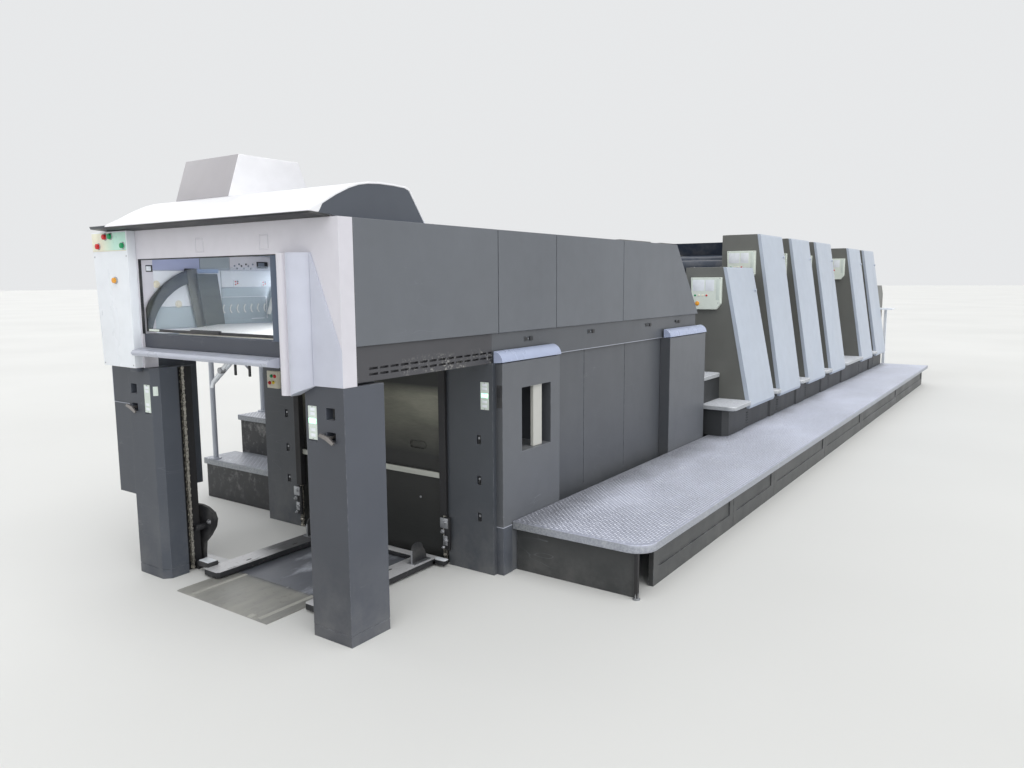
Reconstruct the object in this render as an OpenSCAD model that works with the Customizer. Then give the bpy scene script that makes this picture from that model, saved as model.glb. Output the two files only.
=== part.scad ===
// Sheetfed offset printing press: delivery end, six units, feeder and walkways.
// X runs along the sheet path from delivery to feeder, the operator side is -Y.
// Inside at_press() the delivery front is at X = 0 and the centreline at Y = 0.

/* [Delivery frame] */
// Top of the delivery housing
delivery_top = 1891; // [1800:1:2000]
// Underside of the upper side panels
panel_bottom = 1338; // [1320:1:1360]
// Underside of the vent band
band_bottom = 1180; // [1172:1:1200]
// Underside of the front fascia
fascia_bottom = 1168; // [1150:1:1178]
// Centreline to the operator side of the delivery
operator_side = 846; // [830:1:860]
// Centreline to the drive side of the delivery
drive_side = 1080; // [1060:1:1110]
// Width of a front column
column_w = 250; // [220:1:280]
// Depth of a front column along the press
column_d = 245; // [220:1:260]
// Front face of the rear posts
post_x = 1060; // [1040:1:1080]
// Width of a rear post
post_w = 320; // [280:1:330]
// Depth of a rear post
post_d = 30; // [20:1:40]

/* [Fascia and window] */
// Thickness of the fascia
fascia_t = 82; // [70:1:95]
// Operator-side edge of the window
window_op = 440; // [420:1:460]
// Drive-side edge of the window
window_dr = 674; // [650:1:690]
// Top of the window
window_top = 1744; // [1730:1:1760]
// Top of the dark sill under the window
sill_top = 1352; // [1340:1:1360]
// Underside of the dark sill
sill_bottom = 1280; // [1270:1:1300]
// Radius of the curved clear guard
guard_r = 340; // [325:1:350]
// Height of the guard's pivot line
guard_pivot_z = 1362; // [1355:1:1368]

/* [Housing] */
// Seam between the first and second side panel
seam_1 = 1137; // [1120:1:1150]
// Seam between the second and third side panel
seam_2 = 1732; // [1700:1:1760]
// Seam between the third and fourth side panel
seam_3 = 2614; // [2580:1:2640]
// Far end of the housing at its top
housing_end_top = 3523; // [3500:1:3550]
// Far end of the housing at its foot
housing_end_foot = 3985; // [3950:1:4000]
// Crest height of the extraction hood
hood_top = 2060; // [2040:1:2080]

/* [Side pillars] */
// Centreline to the outer face of the side pillars
pillar_side = 900; // [890:1:920]
// Length of the first pillar
pillar_1_l = 592; // [560:1:620]
// Near edge of the second pillar
pillar_2_x = 3304; // [3280:1:3330]
// Length of the second pillar
pillar_2_l = 726; // [700:1:740]
// Height of the pillars under their rounded caps
pillar_h = 1180; // [1160:1:1190]

/* [Units] */
// Near walls of the six units
unit_x = [4560, 5480, 6550, 7600, 9360, 10370];
// Heights of the six units
unit_h = [1730, 2060, 2060, 2060, 2040, 2040];
// Length of a unit along the press
unit_l = 740; // [700:1:760]
// Centreline to the drive side of a unit
unit_drive = 1050; // [1000:1:1080]
// Width of a unit's operator-side frame box at its top
frame_box_w = 350; // [320:1:380]
// How far a guard leans out at its foot
guard_lean = 250; // [220:1:280]
// Underside of the unit guards
guard_foot = 480; // [470:1:500]
// Thickness of a unit guard
guard_t = 34; // [24:1:40]

/* [Walkways] */
// Near end of the operator walkway
deck_x = 1172; // [1160:1:1180]
// Far end of the operator walkway
deck_end = 11230; // [11150:1:11300]
// Centreline to the outer edge of the operator walkway
deck_side = 1720; // [1680:1:1760]
// Height of the walkways
deck_h = 292; // [280:1:310]
// Thickness of the tread plate with its folded edge
deck_t = 46; // [36:1:56]
// Height of the lower steps between the units
step_1_h = 556; // [540:1:580]
// Height of the upper steps between the units
step_2_h = 790; // [760:1:800]
// Outer edge of the drive-side walkway
drive_deck_side = 1950; // [1900:1:1990]
// Near end of the drive-side walkway, behind its step
drive_deck_x = 1420; // [1380:1:1460]
// Height of the drive-side walkway
drive_deck_h = 600; // [580:1:620]

/* [Feeder] */
// Length of the feeder
feeder_l = 2390; // [2200:10:2500]
// Half width of the feeder
feeder_side = 640; // [600:1:660]

/* [Hidden] */
$fn = 48;
unit_side = operator_side;
unit_count = len(unit_x);
skirt_side = 1062;
step_side = 1072;
step_split = 838;
tread_t = 36;
step_l = 280;
pillar_1_x = post_x + post_d;
feeder_x = unit_x[unit_count - 1] + unit_l;
overall_front = -116;
overall_end = feeder_x + feeder_l;
mid_x = (overall_front + overall_end) / 2;
mid_y = (drive_deck_side - deck_side) / 2;
panel_t = 26;
guard_pivot_x = 22 + guard_r;
band_face = operator_side - 14;
band_t = 46;
cap_h = 66;
guard_shell = 6;
cheek_t = 14;
guide_y = 726;
table_over = 26;
plinth_h = 52;
groove = 3;
exhaust_top = 2275;
exhaust_low_y = 191;
exhaust_high_y = 651;
hood_skin = 9;
hood_op = -800;
hood_front = [
  [-116, 1908], [-100, 1922], [-41, 1950], [38, 1993], [112, 2026], [170, 2045], [227, 2055], [300, hood_top]
];
hood_back = [[400, hood_top], [470, hood_top - 4], [500, hood_top - 14], [610, delivery_top]];
chain_pitch = 38;
chain_links = 30;
rear_links = 7;
// Channel for chain and rail at the inner back corner of a front column.
channel_x = 140;
channel_d = 70;
column_inner = operator_side - column_w;
front_chain_y = column_inner + 26;
post_inner_low = -operator_side - 10 + post_w;
post_inner_high = drive_side - 15 - post_w;
rear_rail_w = 48;
rear_rail_z = 291.3;
bar_low = 498;
bar_high = 532;
trough_low_y = -unit_side + frame_box_w;
trough_high_y = unit_drive - 420;
bracket_in = 600;
stack_top = 1342;
feeder_frame_t = 70;
beam_in = 350;
beam_out = 485;

// Moves machine coordinates so that the whole press is centred on the origin.
module at_press() {
  translate([-mid_x, -mid_y, 0]) children();
}

// A box given by its low and high corners.
module block(low, high) {
  translate(low) cube(high - low);
}

// A plate in the YZ plane, thickness along +X, from an outline of [y, z] points.
module plate_yz(x, t, points) {
  translate([x, 0, 0]) rotate([90, 0, 90]) linear_extrude(t) polygon(points);
}

// A prism along Y between two planes, from an outline of [x, z] points.
module prism_xz(y_low, y_high, points) {
  translate([0, y_high, 0]) rotate([90, 0, 0]) linear_extrude(y_high - y_low) polygon(points);
}

// A prism along Z between two heights, from an outline of [x, y] points.
module prism_xy(z_low, z_high, points) {
  translate([0, 0, z_low]) linear_extrude(z_high - z_low) polygon(points);
}

// Plan of a front column, its outline moved in by inset.
function column_outline(chamfer, inset) = [
  [inset, inset], [inset, column_w - chamfer - inset], [chamfer + inset, column_w - inset],
  [column_d - inset, column_w - inset], [column_d - inset, inset]
];

// A front column from the floor to the fascia, with the stub that carries the housing.
// Its outer side lies at Y = 0, its inner front corner is chamfered and its stub ends at stub_w.
module front_column(chamfer, stub_w) {
  difference() {
    linear_extrude(fascia_bottom) polygon(column_outline(chamfer, 0));
    block([channel_x, column_w - channel_d, -1], [column_d + 1, column_w + 1, fascia_bottom - 2]);
    // Shadow groove above the plinth.
    translate([0, 0, plinth_h]) linear_extrude(groove) difference() {
      translate([-1, -1]) square([column_d + 2, column_w + 2]);
      polygon(column_outline(chamfer, groove));
    }
  }
  block([fascia_t, band_t + operator_side - band_face, fascia_bottom - 1], [column_d, stub_w, panel_bottom]);
}

module front_column_operator() {
  color([0.29, 0.31, 0.34]) at_press() translate([0, -operator_side, 0]) difference() {
    front_column(4, column_w);
    // Recesses of the light barrier strip, the dark window and the lever.
    translate([-1, 175, 918]) cube([8, 58, 160]);
    translate([-1, 58, 1022]) cube([46, 56, 54]);
    translate([-1, 58, 925]) cube([46, 56, 44]);
  }
}

module front_column_drive() {
  color([0.29, 0.31, 0.34]) at_press() translate([0, operator_side, 0]) mirror([0, 1, 0]) difference() {
    front_column(34, operator_side - window_dr - table_over);
    translate([-1, 148, 918]) cube([8, 58, 160]);
    translate([-1, 24, 1022]) cube([46, 56, 54]);
    translate([-1, 24, 925]) cube([46, 56, 44]);
  }
}

module rear_post(y_low) {
  difference() {
    block([post_x, y_low, 0], [post_x + post_d, y_low + post_w, band_bottom]);
    for (z = [292, 502, 732]) block([post_x - 1, y_low + 84, z], [post_x + 20, y_low + 112, z + 50]);
    block([post_x - 1, y_low + 26, 925], [post_x + 6, y_low + 84, 1078]);
  }
}

module rear_post_operator() {
  color([0.29, 0.31, 0.34]) at_press() rear_post(-operator_side - 10);
}

module rear_post_drive() {
  color([0.29, 0.31, 0.34]) at_press() rear_post(drive_side - 15 - post_w);
}

module delivery_fascia() {
  color([0.84, 0.82, 0.85]) at_press() difference() {
    plate_yz(0, fascia_t, [
      [-operator_side, fascia_bottom], [-window_op, fascia_bottom], [-window_op, window_top],
      [window_dr, window_top], [window_dr, fascia_bottom], [692, fascia_bottom],
      [761, 1600], [765, delivery_top], [-operator_side, delivery_top]
    ]);
    // Two small framed blanks on the top bar.
    for (y = [-395, 90]) {
      difference() {
        block([-1, y, 1765], [3, y + 64, 1835]);
        block([-2, y + 5, 1770], [4, y + 59, 1830]);
      }
    }
  }
}

module corner_cowl() {
  color([0.80, 0.79, 0.83]) at_press() {
    prism_xy(1120, 1762, [
      [0, -442], [0, -668], [-30, -640], [-72, -585], [-92, -540], [-101, -512], [-101, -508],
      [-105, -504], [-105, -484], [-92, -481], [-92, -471], [-100, -468], [-97, -442]
    ]);
    plate_yz(-14, 14, [[-674, 1762], [-668, 1169], [-812, 1169], [-812, 1330]]);
  }
}

module window_sill() {
  color([0.24, 0.25, 0.28]) at_press() union() {
    block([12, -window_op, sill_bottom], [74, window_dr, sill_top]);
    block([30, -window_op, 1232], [60, window_dr, sill_bottom]);
  }
}

module bumper_rail() {
  color([0.70, 0.73, 0.80]) at_press() {
    prism_xz(-window_op + 4, window_dr - 2, [[30, 1238], [30, 1279], [-10, 1279], [-62, 1270], [-74, 1256], [-66, 1242], [-8, 1232]]);
  }
}

module control_box() {
  color([0.95, 0.96, 0.97]) at_press() {
    plate_yz(-46, 46 + fascia_t, [
      [1085, fascia_bottom], [692, fascia_bottom], [761, 1600], [765, delivery_top], [1118, delivery_top]
    ]);
    // Push buttons on the upper patch and one lower button.
    for (b = [[996, 1858], [939, 1862], [1071, 1812], [828, 1814], [923, 1633]]) {
      translate([-62, b[0], b[1]]) rotate([0, 90, 0]) cylinder(h = 17, d = 26);
    }
  }
}

module side_cabinet() {
  color([0.29, 0.31, 0.34]) at_press() difference() {
    block([40, operator_side, 430], [420, 1078, fascia_bottom]);
    block([60, operator_side + 30, 429], [400, 1050, 520]);
    block([39, operator_side - 1, 948], [42, 1087, 954]);
  }
}

module delivery_housing() {
  color([0.36, 0.38, 0.41]) at_press() difference() {
    prism_xz(-operator_side + panel_t, drive_side - panel_t, [
      [fascia_t, delivery_top], [fascia_t, panel_bottom], [housing_end_foot - 30, panel_bottom],
      [housing_end_foot - 100, 1428], [housing_end_top + 150, 1700], [housing_end_top - 10, delivery_top]
    ]);
    // Room behind the window in which the curved guard turns.
    block([fascia_t - 5, -window_op - 20, panel_bottom - 5], [930, window_dr + 16, 1780]);
  }
}

module side_panels() {
  color([0.39, 0.41, 0.43]) at_press() {
    for (side = [0, 1]) {
      y_low = side == 0 ? -operator_side : drive_side - panel_t;
      y_high = y_low + panel_t;
      for (run = [[fascia_t + 2, seam_1 - 3], [seam_1 + 3, seam_2 - 3], [seam_2 + 3, seam_3 - 3]]) {
        block([run[0], y_low, panel_bottom + 2], [run[1], y_high, delivery_top]);
      }
      prism_xz(y_low, y_high, [
        [seam_3 + 3, panel_bottom + 2], [seam_3 + 3, delivery_top], [housing_end_top, delivery_top],
        [housing_end_top + 160, 1700], [housing_end_foot - 70, 1428], [housing_end_foot, panel_bottom + 2]
      ]);
    }
  }
}

module vent_band() {
  color([0.27, 0.27, 0.29]) at_press() {
    for (side = [0, 1]) {
      y_low = side == 0 ? -band_face : drive_side - 60;
      difference() {
        block([fascia_t, y_low, band_bottom], [post_x + post_d, y_low + 46, panel_bottom]);
        for (i = [0:13]) {
          x = 170 + i * 68;
          block([x, side == 0 ? y_low - 1 : y_low + 30, 1206], [x + 54, side == 0 ? y_low + 16 : y_low + 47, 1216]);
          block([x, side == 0 ? y_low - 1 : y_low + 30, 1232], [x + 54, side == 0 ? y_low + 16 : y_low + 47, 1242]);
        }
      }
    }
    // Beam under the housing at the back of the pile bay.
    block([post_x, -band_face + 46, band_bottom], [post_x + post_d, drive_side - 60, panel_bottom]);
  }
}

module extraction_hood() {
  color([0.93, 0.93, 0.95]) at_press() difference() {
    prism_xz(hood_op, 770, concat(hood_front, hood_back, [[60, delivery_top], [10, 1900]]));
    // Shallow pocket that takes the dark end plate.
    prism_xz(hood_op - 1, hood_op + 12, hood_end_outline());
  }
}

// The end of the hood inside its skin.
function hood_end_outline() = concat(
  [[-60, 1903]],
  [for (p = [for (i = [2:7]) hood_front[i]]) [p[0] + hood_skin / 2, p[1] - hood_skin]],
  [for (p = [for (i = [0:2]) hood_back[i]]) [p[0] - hood_skin / 2, p[1] - hood_skin]],
  [[610 - hood_skin, delivery_top], [60, delivery_top], [10, 1900]]
);

module hood_end_plate() {
  color([0.33, 0.35, 0.38]) at_press() prism_xz(hood_op + 4, hood_op + 12, hood_end_outline());
}

module exhaust_box() {
  color([0.90, 0.90, 0.92]) at_press() {
    prism_xz(exhaust_low_y, exhaust_high_y, [
      [300, hood_top], hood_front[6], [302, exhaust_top], [690, exhaust_top], [850, delivery_top],
      hood_back[3], hood_back[2], hood_back[1], hood_back[0]
    ]);
  }
}

// An arc of a tube round the guard's pivot, from the top down to the front.
module guard_arc(z, h, r_in, r_out) {
  reach = 2 * r_out;
  translate([0, 0, z]) intersection() {
    difference() {
      cylinder(h = h, r = r_out, $fn = 96);
      translate([0, 0, -1]) cylinder(h = h + 2, r = r_in, $fn = 96);
    }
    translate([0, 0, -1]) linear_extrude(h + 2) polygon([
      [0, 0], [reach * cos(178), reach * sin(178)], [reach * cos(130), reach * sin(130)],
      [reach * cos(84), reach * sin(84)]
    ]);
  }
}

module delivery_guard() {
  color([0.55, 0.60, 0.64, 0.45]) at_press() translate([guard_pivot_x, 0, guard_pivot_z]) rotate([90, 0, 0]) {
    // Clear shell, a quarter of a tube from the front up to the top.
    guard_arc(-window_dr + 20, window_op + window_dr - 42, guard_r - guard_shell, guard_r);
    // Dark sector cheeks at both ends, with an arc arm and a radial strut.
    for (z = [-window_dr + 6, window_op - 22]) {
      guard_arc(z, cheek_t, guard_r - 66, guard_r);
      translate([0, 0, z]) difference() {
        union() {
          cylinder(h = cheek_t, d = 90);
          translate([-35, 0, 0]) cube([70, guard_r - 20, cheek_t]);
        }
        translate([0, 0, -1]) cylinder(h = cheek_t + 2, d = 29);
      }
    }
  }
}

module delivery_inner_panel() {
  color([0.62, 0.64, 0.68]) at_press() {
    block([905, -window_op - 20, panel_bottom], [930, window_dr + 16, 1780]);
    // Pivot pins of the curved guard, set in the side walls of the housing.
    for (y = [-window_op - 20, window_dr - 30]) {
      translate([guard_pivot_x, y, guard_pivot_z]) rotate([-90, 0, 0]) cylinder(h = 46, d = 28);
    }
  }
}

module sheet_fingers() {
  color([0.93, 0.93, 0.90]) at_press() {
    block([880, -400, 1560], [905, 640, 1600]);
    for (i = [0:11]) {
      y = -380 + i * 90;
      prism_xz(y, y + 14, [[880, 1598], [800, 1520], [770, 1430], [786, 1426], [822, 1510], [880, 1562]]);
    }
  }
}

module delivery_table() {
  color([0.88, 0.86, 0.78]) at_press() {
    block([150, -window_op - 30, 1284], [900, window_dr + table_over, 1304]);
    for (y = [-window_op - 30, window_dr + table_over - 8]) block([150, y, 1304], [900, y + 8, panel_bottom]);
    // Sheet stack on the table, inside the guard's cheeks.
    block([172, -window_op + 45, 1304], [880, window_dr - 54, stack_top]);
  }
}

// Upright side stop beside the sheet stack, under the curved guard.
module side_stop() {
  color([0.25, 0.26, 0.27]) at_press() {
    prism_xz(window_dr - 50, window_dr - 44, [[355, 1304], [348, 1395], [309, 1668], [440, 1668], [473, 1406], [480, 1304]]);
  }
}

module hoist_guides() {
  color([0.13, 0.13, 0.14]) at_press() {
    for (s = [0, 1]) mirror([0, s, 0]) {
      // Front rail, the back wall of a column's channel, with the foot bearing of the chain.
      block([channel_x, front_chain_y + 11.3, 0], [column_d, column_inner + channel_d, fascia_bottom - 2]);
      block([198, column_inner + 4, 0], [258, front_chain_y + 11.3, 34]);
    }
    // Rear rails at the inner edges of the rear posts, each with a chain inside.
    for (y = [post_inner_low, post_inner_high - rear_rail_w]) {
      block([post_x - 20, y, rear_rail_z], [post_x + post_d - 12, y + rear_rail_w, band_bottom]);
    }
  }
}

// Outline of a chain plate between two pins, round at both ends and waisted between them.
module link_outline() {
  for (x = [0, chain_pitch]) translate([x, 0]) circle(d = 20, $fn = 24);
  translate([0, -7]) square([chain_pitch, 14]);
}

// One hoist chain hanging along Z, its inner and outer plates in turn joined by the rollers.
module hoist_chain(links) {
  for (i = [0:links - 1]) {
    spread = i % 2 == 0 ? 6 : 8.5;
    for (s = [-1, 1]) {
      translate([0, s * spread, i * chain_pitch]) rotate([90, -90, 0]) {
        translate([0, 0, -1.25]) linear_extrude(2.5) link_outline();
      }
    }
  }
  for (i = [0:links]) {
    translate([0, 0, i * chain_pitch]) rotate([90, 0, 0]) {
      translate([0, 0, -4.75]) cylinder(h = 9.5, d = 17, $fn = 24);
      translate([0, 0, -11]) cylinder(h = 22, d = 7, $fn = 16);
    }
  }
}

module hoist_chains() {
  color([0.75, 0.75, 0.72]) at_press() {
    for (s = [-1, 1]) translate([180, s * front_chain_y, 15.7]) hoist_chain(chain_links);
    // Where the rear chains come out of their rails.
    for (y = [post_inner_low + rear_rail_w / 2, post_inner_high - rear_rail_w / 2]) {
      translate([post_x - 1, y, 15]) hoist_chain(rear_links);
    }
  }
}

// Lifting frame in its lowered place: side beams for the pallet, corner brackets and a rear cross beam.
module pile_carriage() {
  x_low = column_d + 28.3;
  x_high = post_x - 28.3;
  color([0.55, 0.57, 0.60]) at_press() {
    block([x_high - 60, -beam_out, 12], [x_high, beam_out, 36]);
    for (s = [0, 1]) mirror([0, s, 0]) {
      prism_xy(12, 44, [
        [150, beam_in + 15], [150, beam_out - 15], [165, beam_out], [x_high, beam_out], [x_high, beam_in], [165, beam_in]
      ]);
      // Outriggers to the corner brackets, and the shoe on the front chain, which runs along the rail.
      for (x = [x_low, x_high - 60]) block([x, beam_out - 1, 12], [x + 60, guide_y + 30, 36]);
      block([202, column_inner + 8, 225], [x_low + 2, front_chain_y + 11, 255]);
      // Chain brackets with a lightening hole, one at each corner.
      for (x = [x_low, x_high - 20.3]) difference() {
        plate_yz(x, 20.3, [
          [guide_y + 2, 12], [guide_y + 30, 12], [guide_y + 30, 320], [guide_y + 2, 349], [680, 349],
          [625, 310], [bracket_in, 270], [bracket_in, 210], [640, 150], [640, 12]
        ]);
        translate([x - 1, bracket_in + 50, 240]) rotate([0, 90, 0]) cylinder(h = 24, d = 34);
      }
      // Rounded upright stop for the pallet.
      prism_xz(430, 440, concat(
        [[850, 30]], [for (a = [180:-15:0]) [897 + 47 * cos(a), 113 + 47 * sin(a)]], [[944, 30]]
      ));
    }
  }
}

module floor_ramp() {
  color([0.50, 0.51, 0.54]) at_press() {
    inner = operator_side - column_w;
    prism_xy(0, 5, [[-20, -234], [-20, 423], [110, inner], [column_d, inner], [column_d, -inner], [110, -inner]]);
  }
}

module bay_back_plate() {
  low = post_inner_low;
  high = post_inner_high;
  x = post_x + post_d;
  color([0.45, 0.46, 0.46]) at_press() {
    difference() {
      block([x - 12, low, bar_high], [x, high, band_bottom]);
      // Grip slot with round ends.
      for (y = [-338, -256]) translate([x - 13, y, 674]) rotate([0, 90, 0]) cylinder(h = 8, d = 38);
      block([x - 13, -338, 655], [x - 5, -256, 693]);
    }
    block([post_x, low + rear_rail_w, bar_low], [x, high - rear_rail_w, bar_high]);
    block([x - 8, low, 0], [x, high, bar_low]);
  }
}

module dryer_body() {
  color([0.30, 0.31, 0.33]) at_press() difference() {
    union() {
      block([post_x + post_d, -operator_side + 30, 0], [housing_end_foot - 60, unit_drive, panel_bottom]);
      // Flush band over the recessed panels, with its latches.
      block([post_x + post_d, -band_face, pillar_h], [housing_end_foot - 20, -operator_side + 31, panel_bottom]);
    }
    for (x = [1422, 2150, 3016, 3556]) block([x - 22, -band_face - 1, 1286], [x + 22, -band_face + 10, 1306]);
    block([pillar_1_x + 186, -operator_side + 29, 670], [pillar_1_x + 490, -operator_side + 190, 1030]);
    for (x = [2120, 2700]) block([x - 3, -operator_side + 29, deck_h], [x + 3, -operator_side + 36, pillar_h]);
  }
}

module side_pillar(x, l) {
  block([x, -pillar_side, 0], [x + l, -operator_side + 30, pillar_h]);
}

module side_pillars() {
  color([0.36, 0.38, 0.41]) at_press() {
    difference() {
      side_pillar(pillar_1_x, pillar_1_l);
      block([pillar_1_x + 186, -pillar_side - 1, 670], [pillar_1_x + 490, -operator_side + 31, 1030]);
    }
    side_pillar(pillar_2_x, pillar_2_l);
  }
}

module pillar_caps() {
  reach = pillar_side + 6 - operator_side;
  color([0.69, 0.72, 0.80]) at_press() {
    for (p = [[pillar_1_x, pillar_1_l], [pillar_2_x, pillar_2_l]]) {
      plate_yz(p[0] - 6, p[1] + 12, concat(
        [[-operator_side, pillar_h]],
        [for (a = [0:10:90]) [-operator_side - reach * cos(a), pillar_h + 6 + (cap_h - 6) * sin(a)]]
      ));
    }
  }
}

module service_window() {
  color([0.85, 0.85, 0.83]) at_press() {
    block([pillar_1_x + 330, -pillar_side + 18, 670], [pillar_1_x + 420, -pillar_side + 40, 1030]);
  }
}

module unit_body(i) {
  x = unit_x[i];
  h = unit_h[i];
  difference() {
    union() {
      // Operator-side frame box, leaning out towards its foot.
      plate_yz(x, unit_l, [
        [-unit_side, h], [trough_low_y, h], [trough_low_y, 0],
        [-unit_side - 40, 0], [-unit_side - 40, guard_foot - 12], [-unit_side - guard_lean, guard_foot]
      ]);
      // Drive-side frame box and gear cover.
      block([x, trough_high_y, 0], [x + unit_l, unit_drive, h]);
      // Body between the frames.
      block([x, trough_low_y - 50, 0], [x + unit_l, trough_high_y + 20, h - 420]);
    }
    // Joint lines of the gear-side door.
    difference() {
      block([x + 60, unit_drive - groove, 660], [x + unit_l - 60, unit_drive + 1, h - 120]);
      block([x + 64, unit_drive - groove - 1, 664], [x + unit_l - 64, unit_drive + 2, h - 124]);
    }
  }
}

module unit_guard(i) {
  x = unit_x[i];
  h = unit_h[i];
  knob_z = h - 210;
  knob_y = -unit_side - guard_t - guard_lean * (h - knob_z) / (h - guard_foot);
  color([0.75, 0.78, 0.86]) at_press() {
    plate_yz(x - 4, unit_l - 20, [
      [-unit_side, h], [-unit_side - guard_t + 8, h], [-unit_side - guard_t, h - 14],
      [-unit_side - guard_lean - guard_t, guard_foot + 26], [-unit_side - guard_lean - guard_t + 10, guard_foot],
      [-unit_side - guard_lean, guard_foot]
    ]);
    // Round knob that unlocks the guard.
    translate([x + unit_l - 80, knob_y + 10, knob_z]) rotate([90, 0, 0]) cylinder(h = 26, d = 26);
  }
}

module unit_paint() {
  color([0.36, 0.37, 0.37]) at_press() children();
}

module unit_1() {
  unit_paint() unit_body(0);
}

module unit_2() {
  unit_paint() unit_body(1);
}

module unit_3() {
  unit_paint() unit_body(2);
}

module unit_4() {
  unit_paint() unit_body(3);
}

module unit_5() {
  unit_paint() unit_body(4);
}

module unit_6() {
  unit_paint() unit_body(5);
}

module unit_guard_1() {
  unit_guard(0);
}

module unit_guard_2() {
  unit_guard(1);
}

module unit_guard_3() {
  unit_guard(2);
}

module unit_guard_4() {
  unit_guard(3);
}

module unit_guard_5() {
  unit_guard(4);
}

module unit_guard_6() {
  unit_guard(5);
}

module unit_control_panels() {
  color([0.93, 0.96, 0.92]) at_press() {
    for (i = [0:5]) {
      top = i == 0 ? 1640 : 1900;
      plate_yz(unit_x[i] - 42, 42, [[-560, top], [-842, top], [-842, top - 230], [-800, top - 285], [-600, top - 285], [-572, top - 250]]);
    }
  }
}

module cylinder_guards() {
  color([0.25, 0.26, 0.27]) at_press() {
    for (i = [0:4]) {
      x_low = unit_x[i] + unit_l;
      block([x_low, trough_low_y, 0], [unit_x[i + 1], unit_drive - 440, unit_h[i] - 700]);
    }
    block([housing_end_foot - 60, trough_low_y, 0], [unit_x[0], unit_drive - 440, 1100]);
  }
}

module base_skirt() {
  color([0.28, 0.29, 0.30]) at_press() {
    for (x = unit_x) difference() {
      block([x + 2, -skirt_side, deck_h], [x + unit_l - 2, -unit_side - 40, guard_foot - 12]);
      for (i = [0:4], j = [0:1]) {
        block([x + 90 + j * 34, -skirt_side - 1, deck_h + 30 + i * 24], [x + 114 + j * 34, -skirt_side + 8, deck_h + 40 + i * 24]);
      }
    }
  }
}

// Calls its children once for each gangway, between the near x and the far x.
module each_gangway() {
  for (i = [0:unit_count - 1]) {
    $near = i == 0 ? 4090 : unit_x[i - 1] + unit_l;
    $far = unit_x[i];
    $first = i == 0;
    children();
  }
}

module step_boxes() {
  color([0.22, 0.23, 0.24]) at_press() each_gangway() {
    x_low = $first ? $near + 36 : $near;
    prism_xy(deck_h, step_1_h - tread_t, [
      [x_low + 45, -step_side], [$far, -step_side], [$far, -step_split], [x_low, -step_split], [x_low, -step_side + 45]
    ]);
    block([x_low, -step_split, 0], [$far, trough_low_y, step_2_h - tread_t]);
  }
}

// A tread between two x values, its two outer corners rounded.
module tread(x_low, x_high, y_outer, y_inner, top) {
  r = 60;
  translate([0, 0, top - tread_t]) linear_extrude(tread_t) {
    translate([x_low, y_outer + r]) square([x_high - x_low, y_inner - y_outer - r]);
    translate([x_low + r, y_outer]) square([x_high - x_low - 2 * r, r + 1]);
    for (x = [x_low + r, x_high - r]) translate([x, y_outer + r]) circle(r = r);
  }
}

module step_treads() {
  color([0.66, 0.68, 0.74]) at_press() each_gangway() {
    tread($near, $far - 5, -step_side - 78, -step_split, step_1_h);
    tread($near, $far - 5, -step_split - 20, trough_low_y, step_2_h);
  }
}

module operator_deck() {
  color([0.66, 0.68, 0.74]) at_press() {
    r = 120;
    translate([0, 0, deck_h - deck_t]) linear_extrude(deck_t) union() {
      translate([deck_x, -deck_side + r]) square([deck_end - deck_x, deck_side - r - pillar_side - 2]);
      translate([deck_x + r, -deck_side]) square([deck_end - deck_x - r, r + 1]);
      translate([deck_x + r, -deck_side + r]) circle(r = r);
    }
  }
}

module deck_skirt() {
  top = deck_h - deck_t;
  face = -deck_side + 68;
  seams = [for (share = [0.0229, 0.1468, 0.236, 0.3905, 0.5487, 0.7683, 0.9927]) deck_x + share * (deck_end - deck_x)];
  color([0.27, 0.28, 0.28]) at_press() {
    for (i = [0:5]) difference() {
      block([seams[i] + 3, face, 0], [seams[i + 1] - 3, face + 30, top]);
      // Sunk field of the panel.
      block([seams[i] + 70, face - 1, 94], [seams[i + 1] - 70, face + 8, 203]);
    }
    // Near kick plate and far end plate.
    block([deck_x + 42, face + 12, 0], [deck_x + 60, -pillar_side - 4, top]);
    block([deck_end - 90, face + 32, 0], [deck_end - 72, -pillar_side - 4, top]);
  }
}

module deck_legs() {
  color([0.20, 0.21, 0.22]) at_press() {
    top = deck_h - deck_t;
    block([deck_x + 18, -deck_side + 58, 0], [deck_x + 40, -deck_side + 78, top]);
    for (share = [0.12, 0.3, 0.48, 0.66, 0.84]) {
      x = deck_x + share * (deck_end - deck_x);
      block([x, -deck_side + 420, 0], [x + 60, -deck_side + 480, top]);
    }
  }
}

module drive_deck() {
  color([0.60, 0.62, 0.68]) at_press() {
    under = drive_deck_h - 40;
    wall = drive_deck_x + 40;
    block([drive_deck_x, unit_drive, under], [deck_end, drive_deck_side - 80, drive_deck_h]);
    block([wall - 20, unit_drive, 0], [wall, drive_deck_side - 90, under]);
    block([deck_end - 60, unit_drive + 20, 0], [deck_end - 40, drive_deck_side - 90, under]);
    block([wall, drive_deck_side - 110, 0], [deck_end - 60, drive_deck_side - 90, under]);
  }
}

module drive_steps() {
  color([0.66, 0.68, 0.74]) at_press() {
    top = drive_deck_h / 2;
    x = drive_deck_x + 20;
    block([x - step_l, unit_drive, top - 45], [x, drive_deck_side, top]);
    block([x - step_l + 10, unit_drive, 0], [x - 10, drive_deck_side - 20, top - 45]);
  }
}

module feeder_frame() {
  color([0.36, 0.37, 0.37]) at_press() {
    for (y = [-feeder_side, feeder_side - feeder_frame_t]) {
      prism_xz(y, y + feeder_frame_t, [
        [feeder_x + 900, 0], [feeder_x + 900, 1150], [feeder_x + 1010, 1500],
        [overall_end - 150, 1500], [overall_end, 1350], [overall_end, 0]
      ]);
    }
    block([overall_end - 330, -feeder_side + feeder_frame_t, 1380], [overall_end - 160, feeder_side - feeder_frame_t, 1500]);
  }
}

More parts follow.
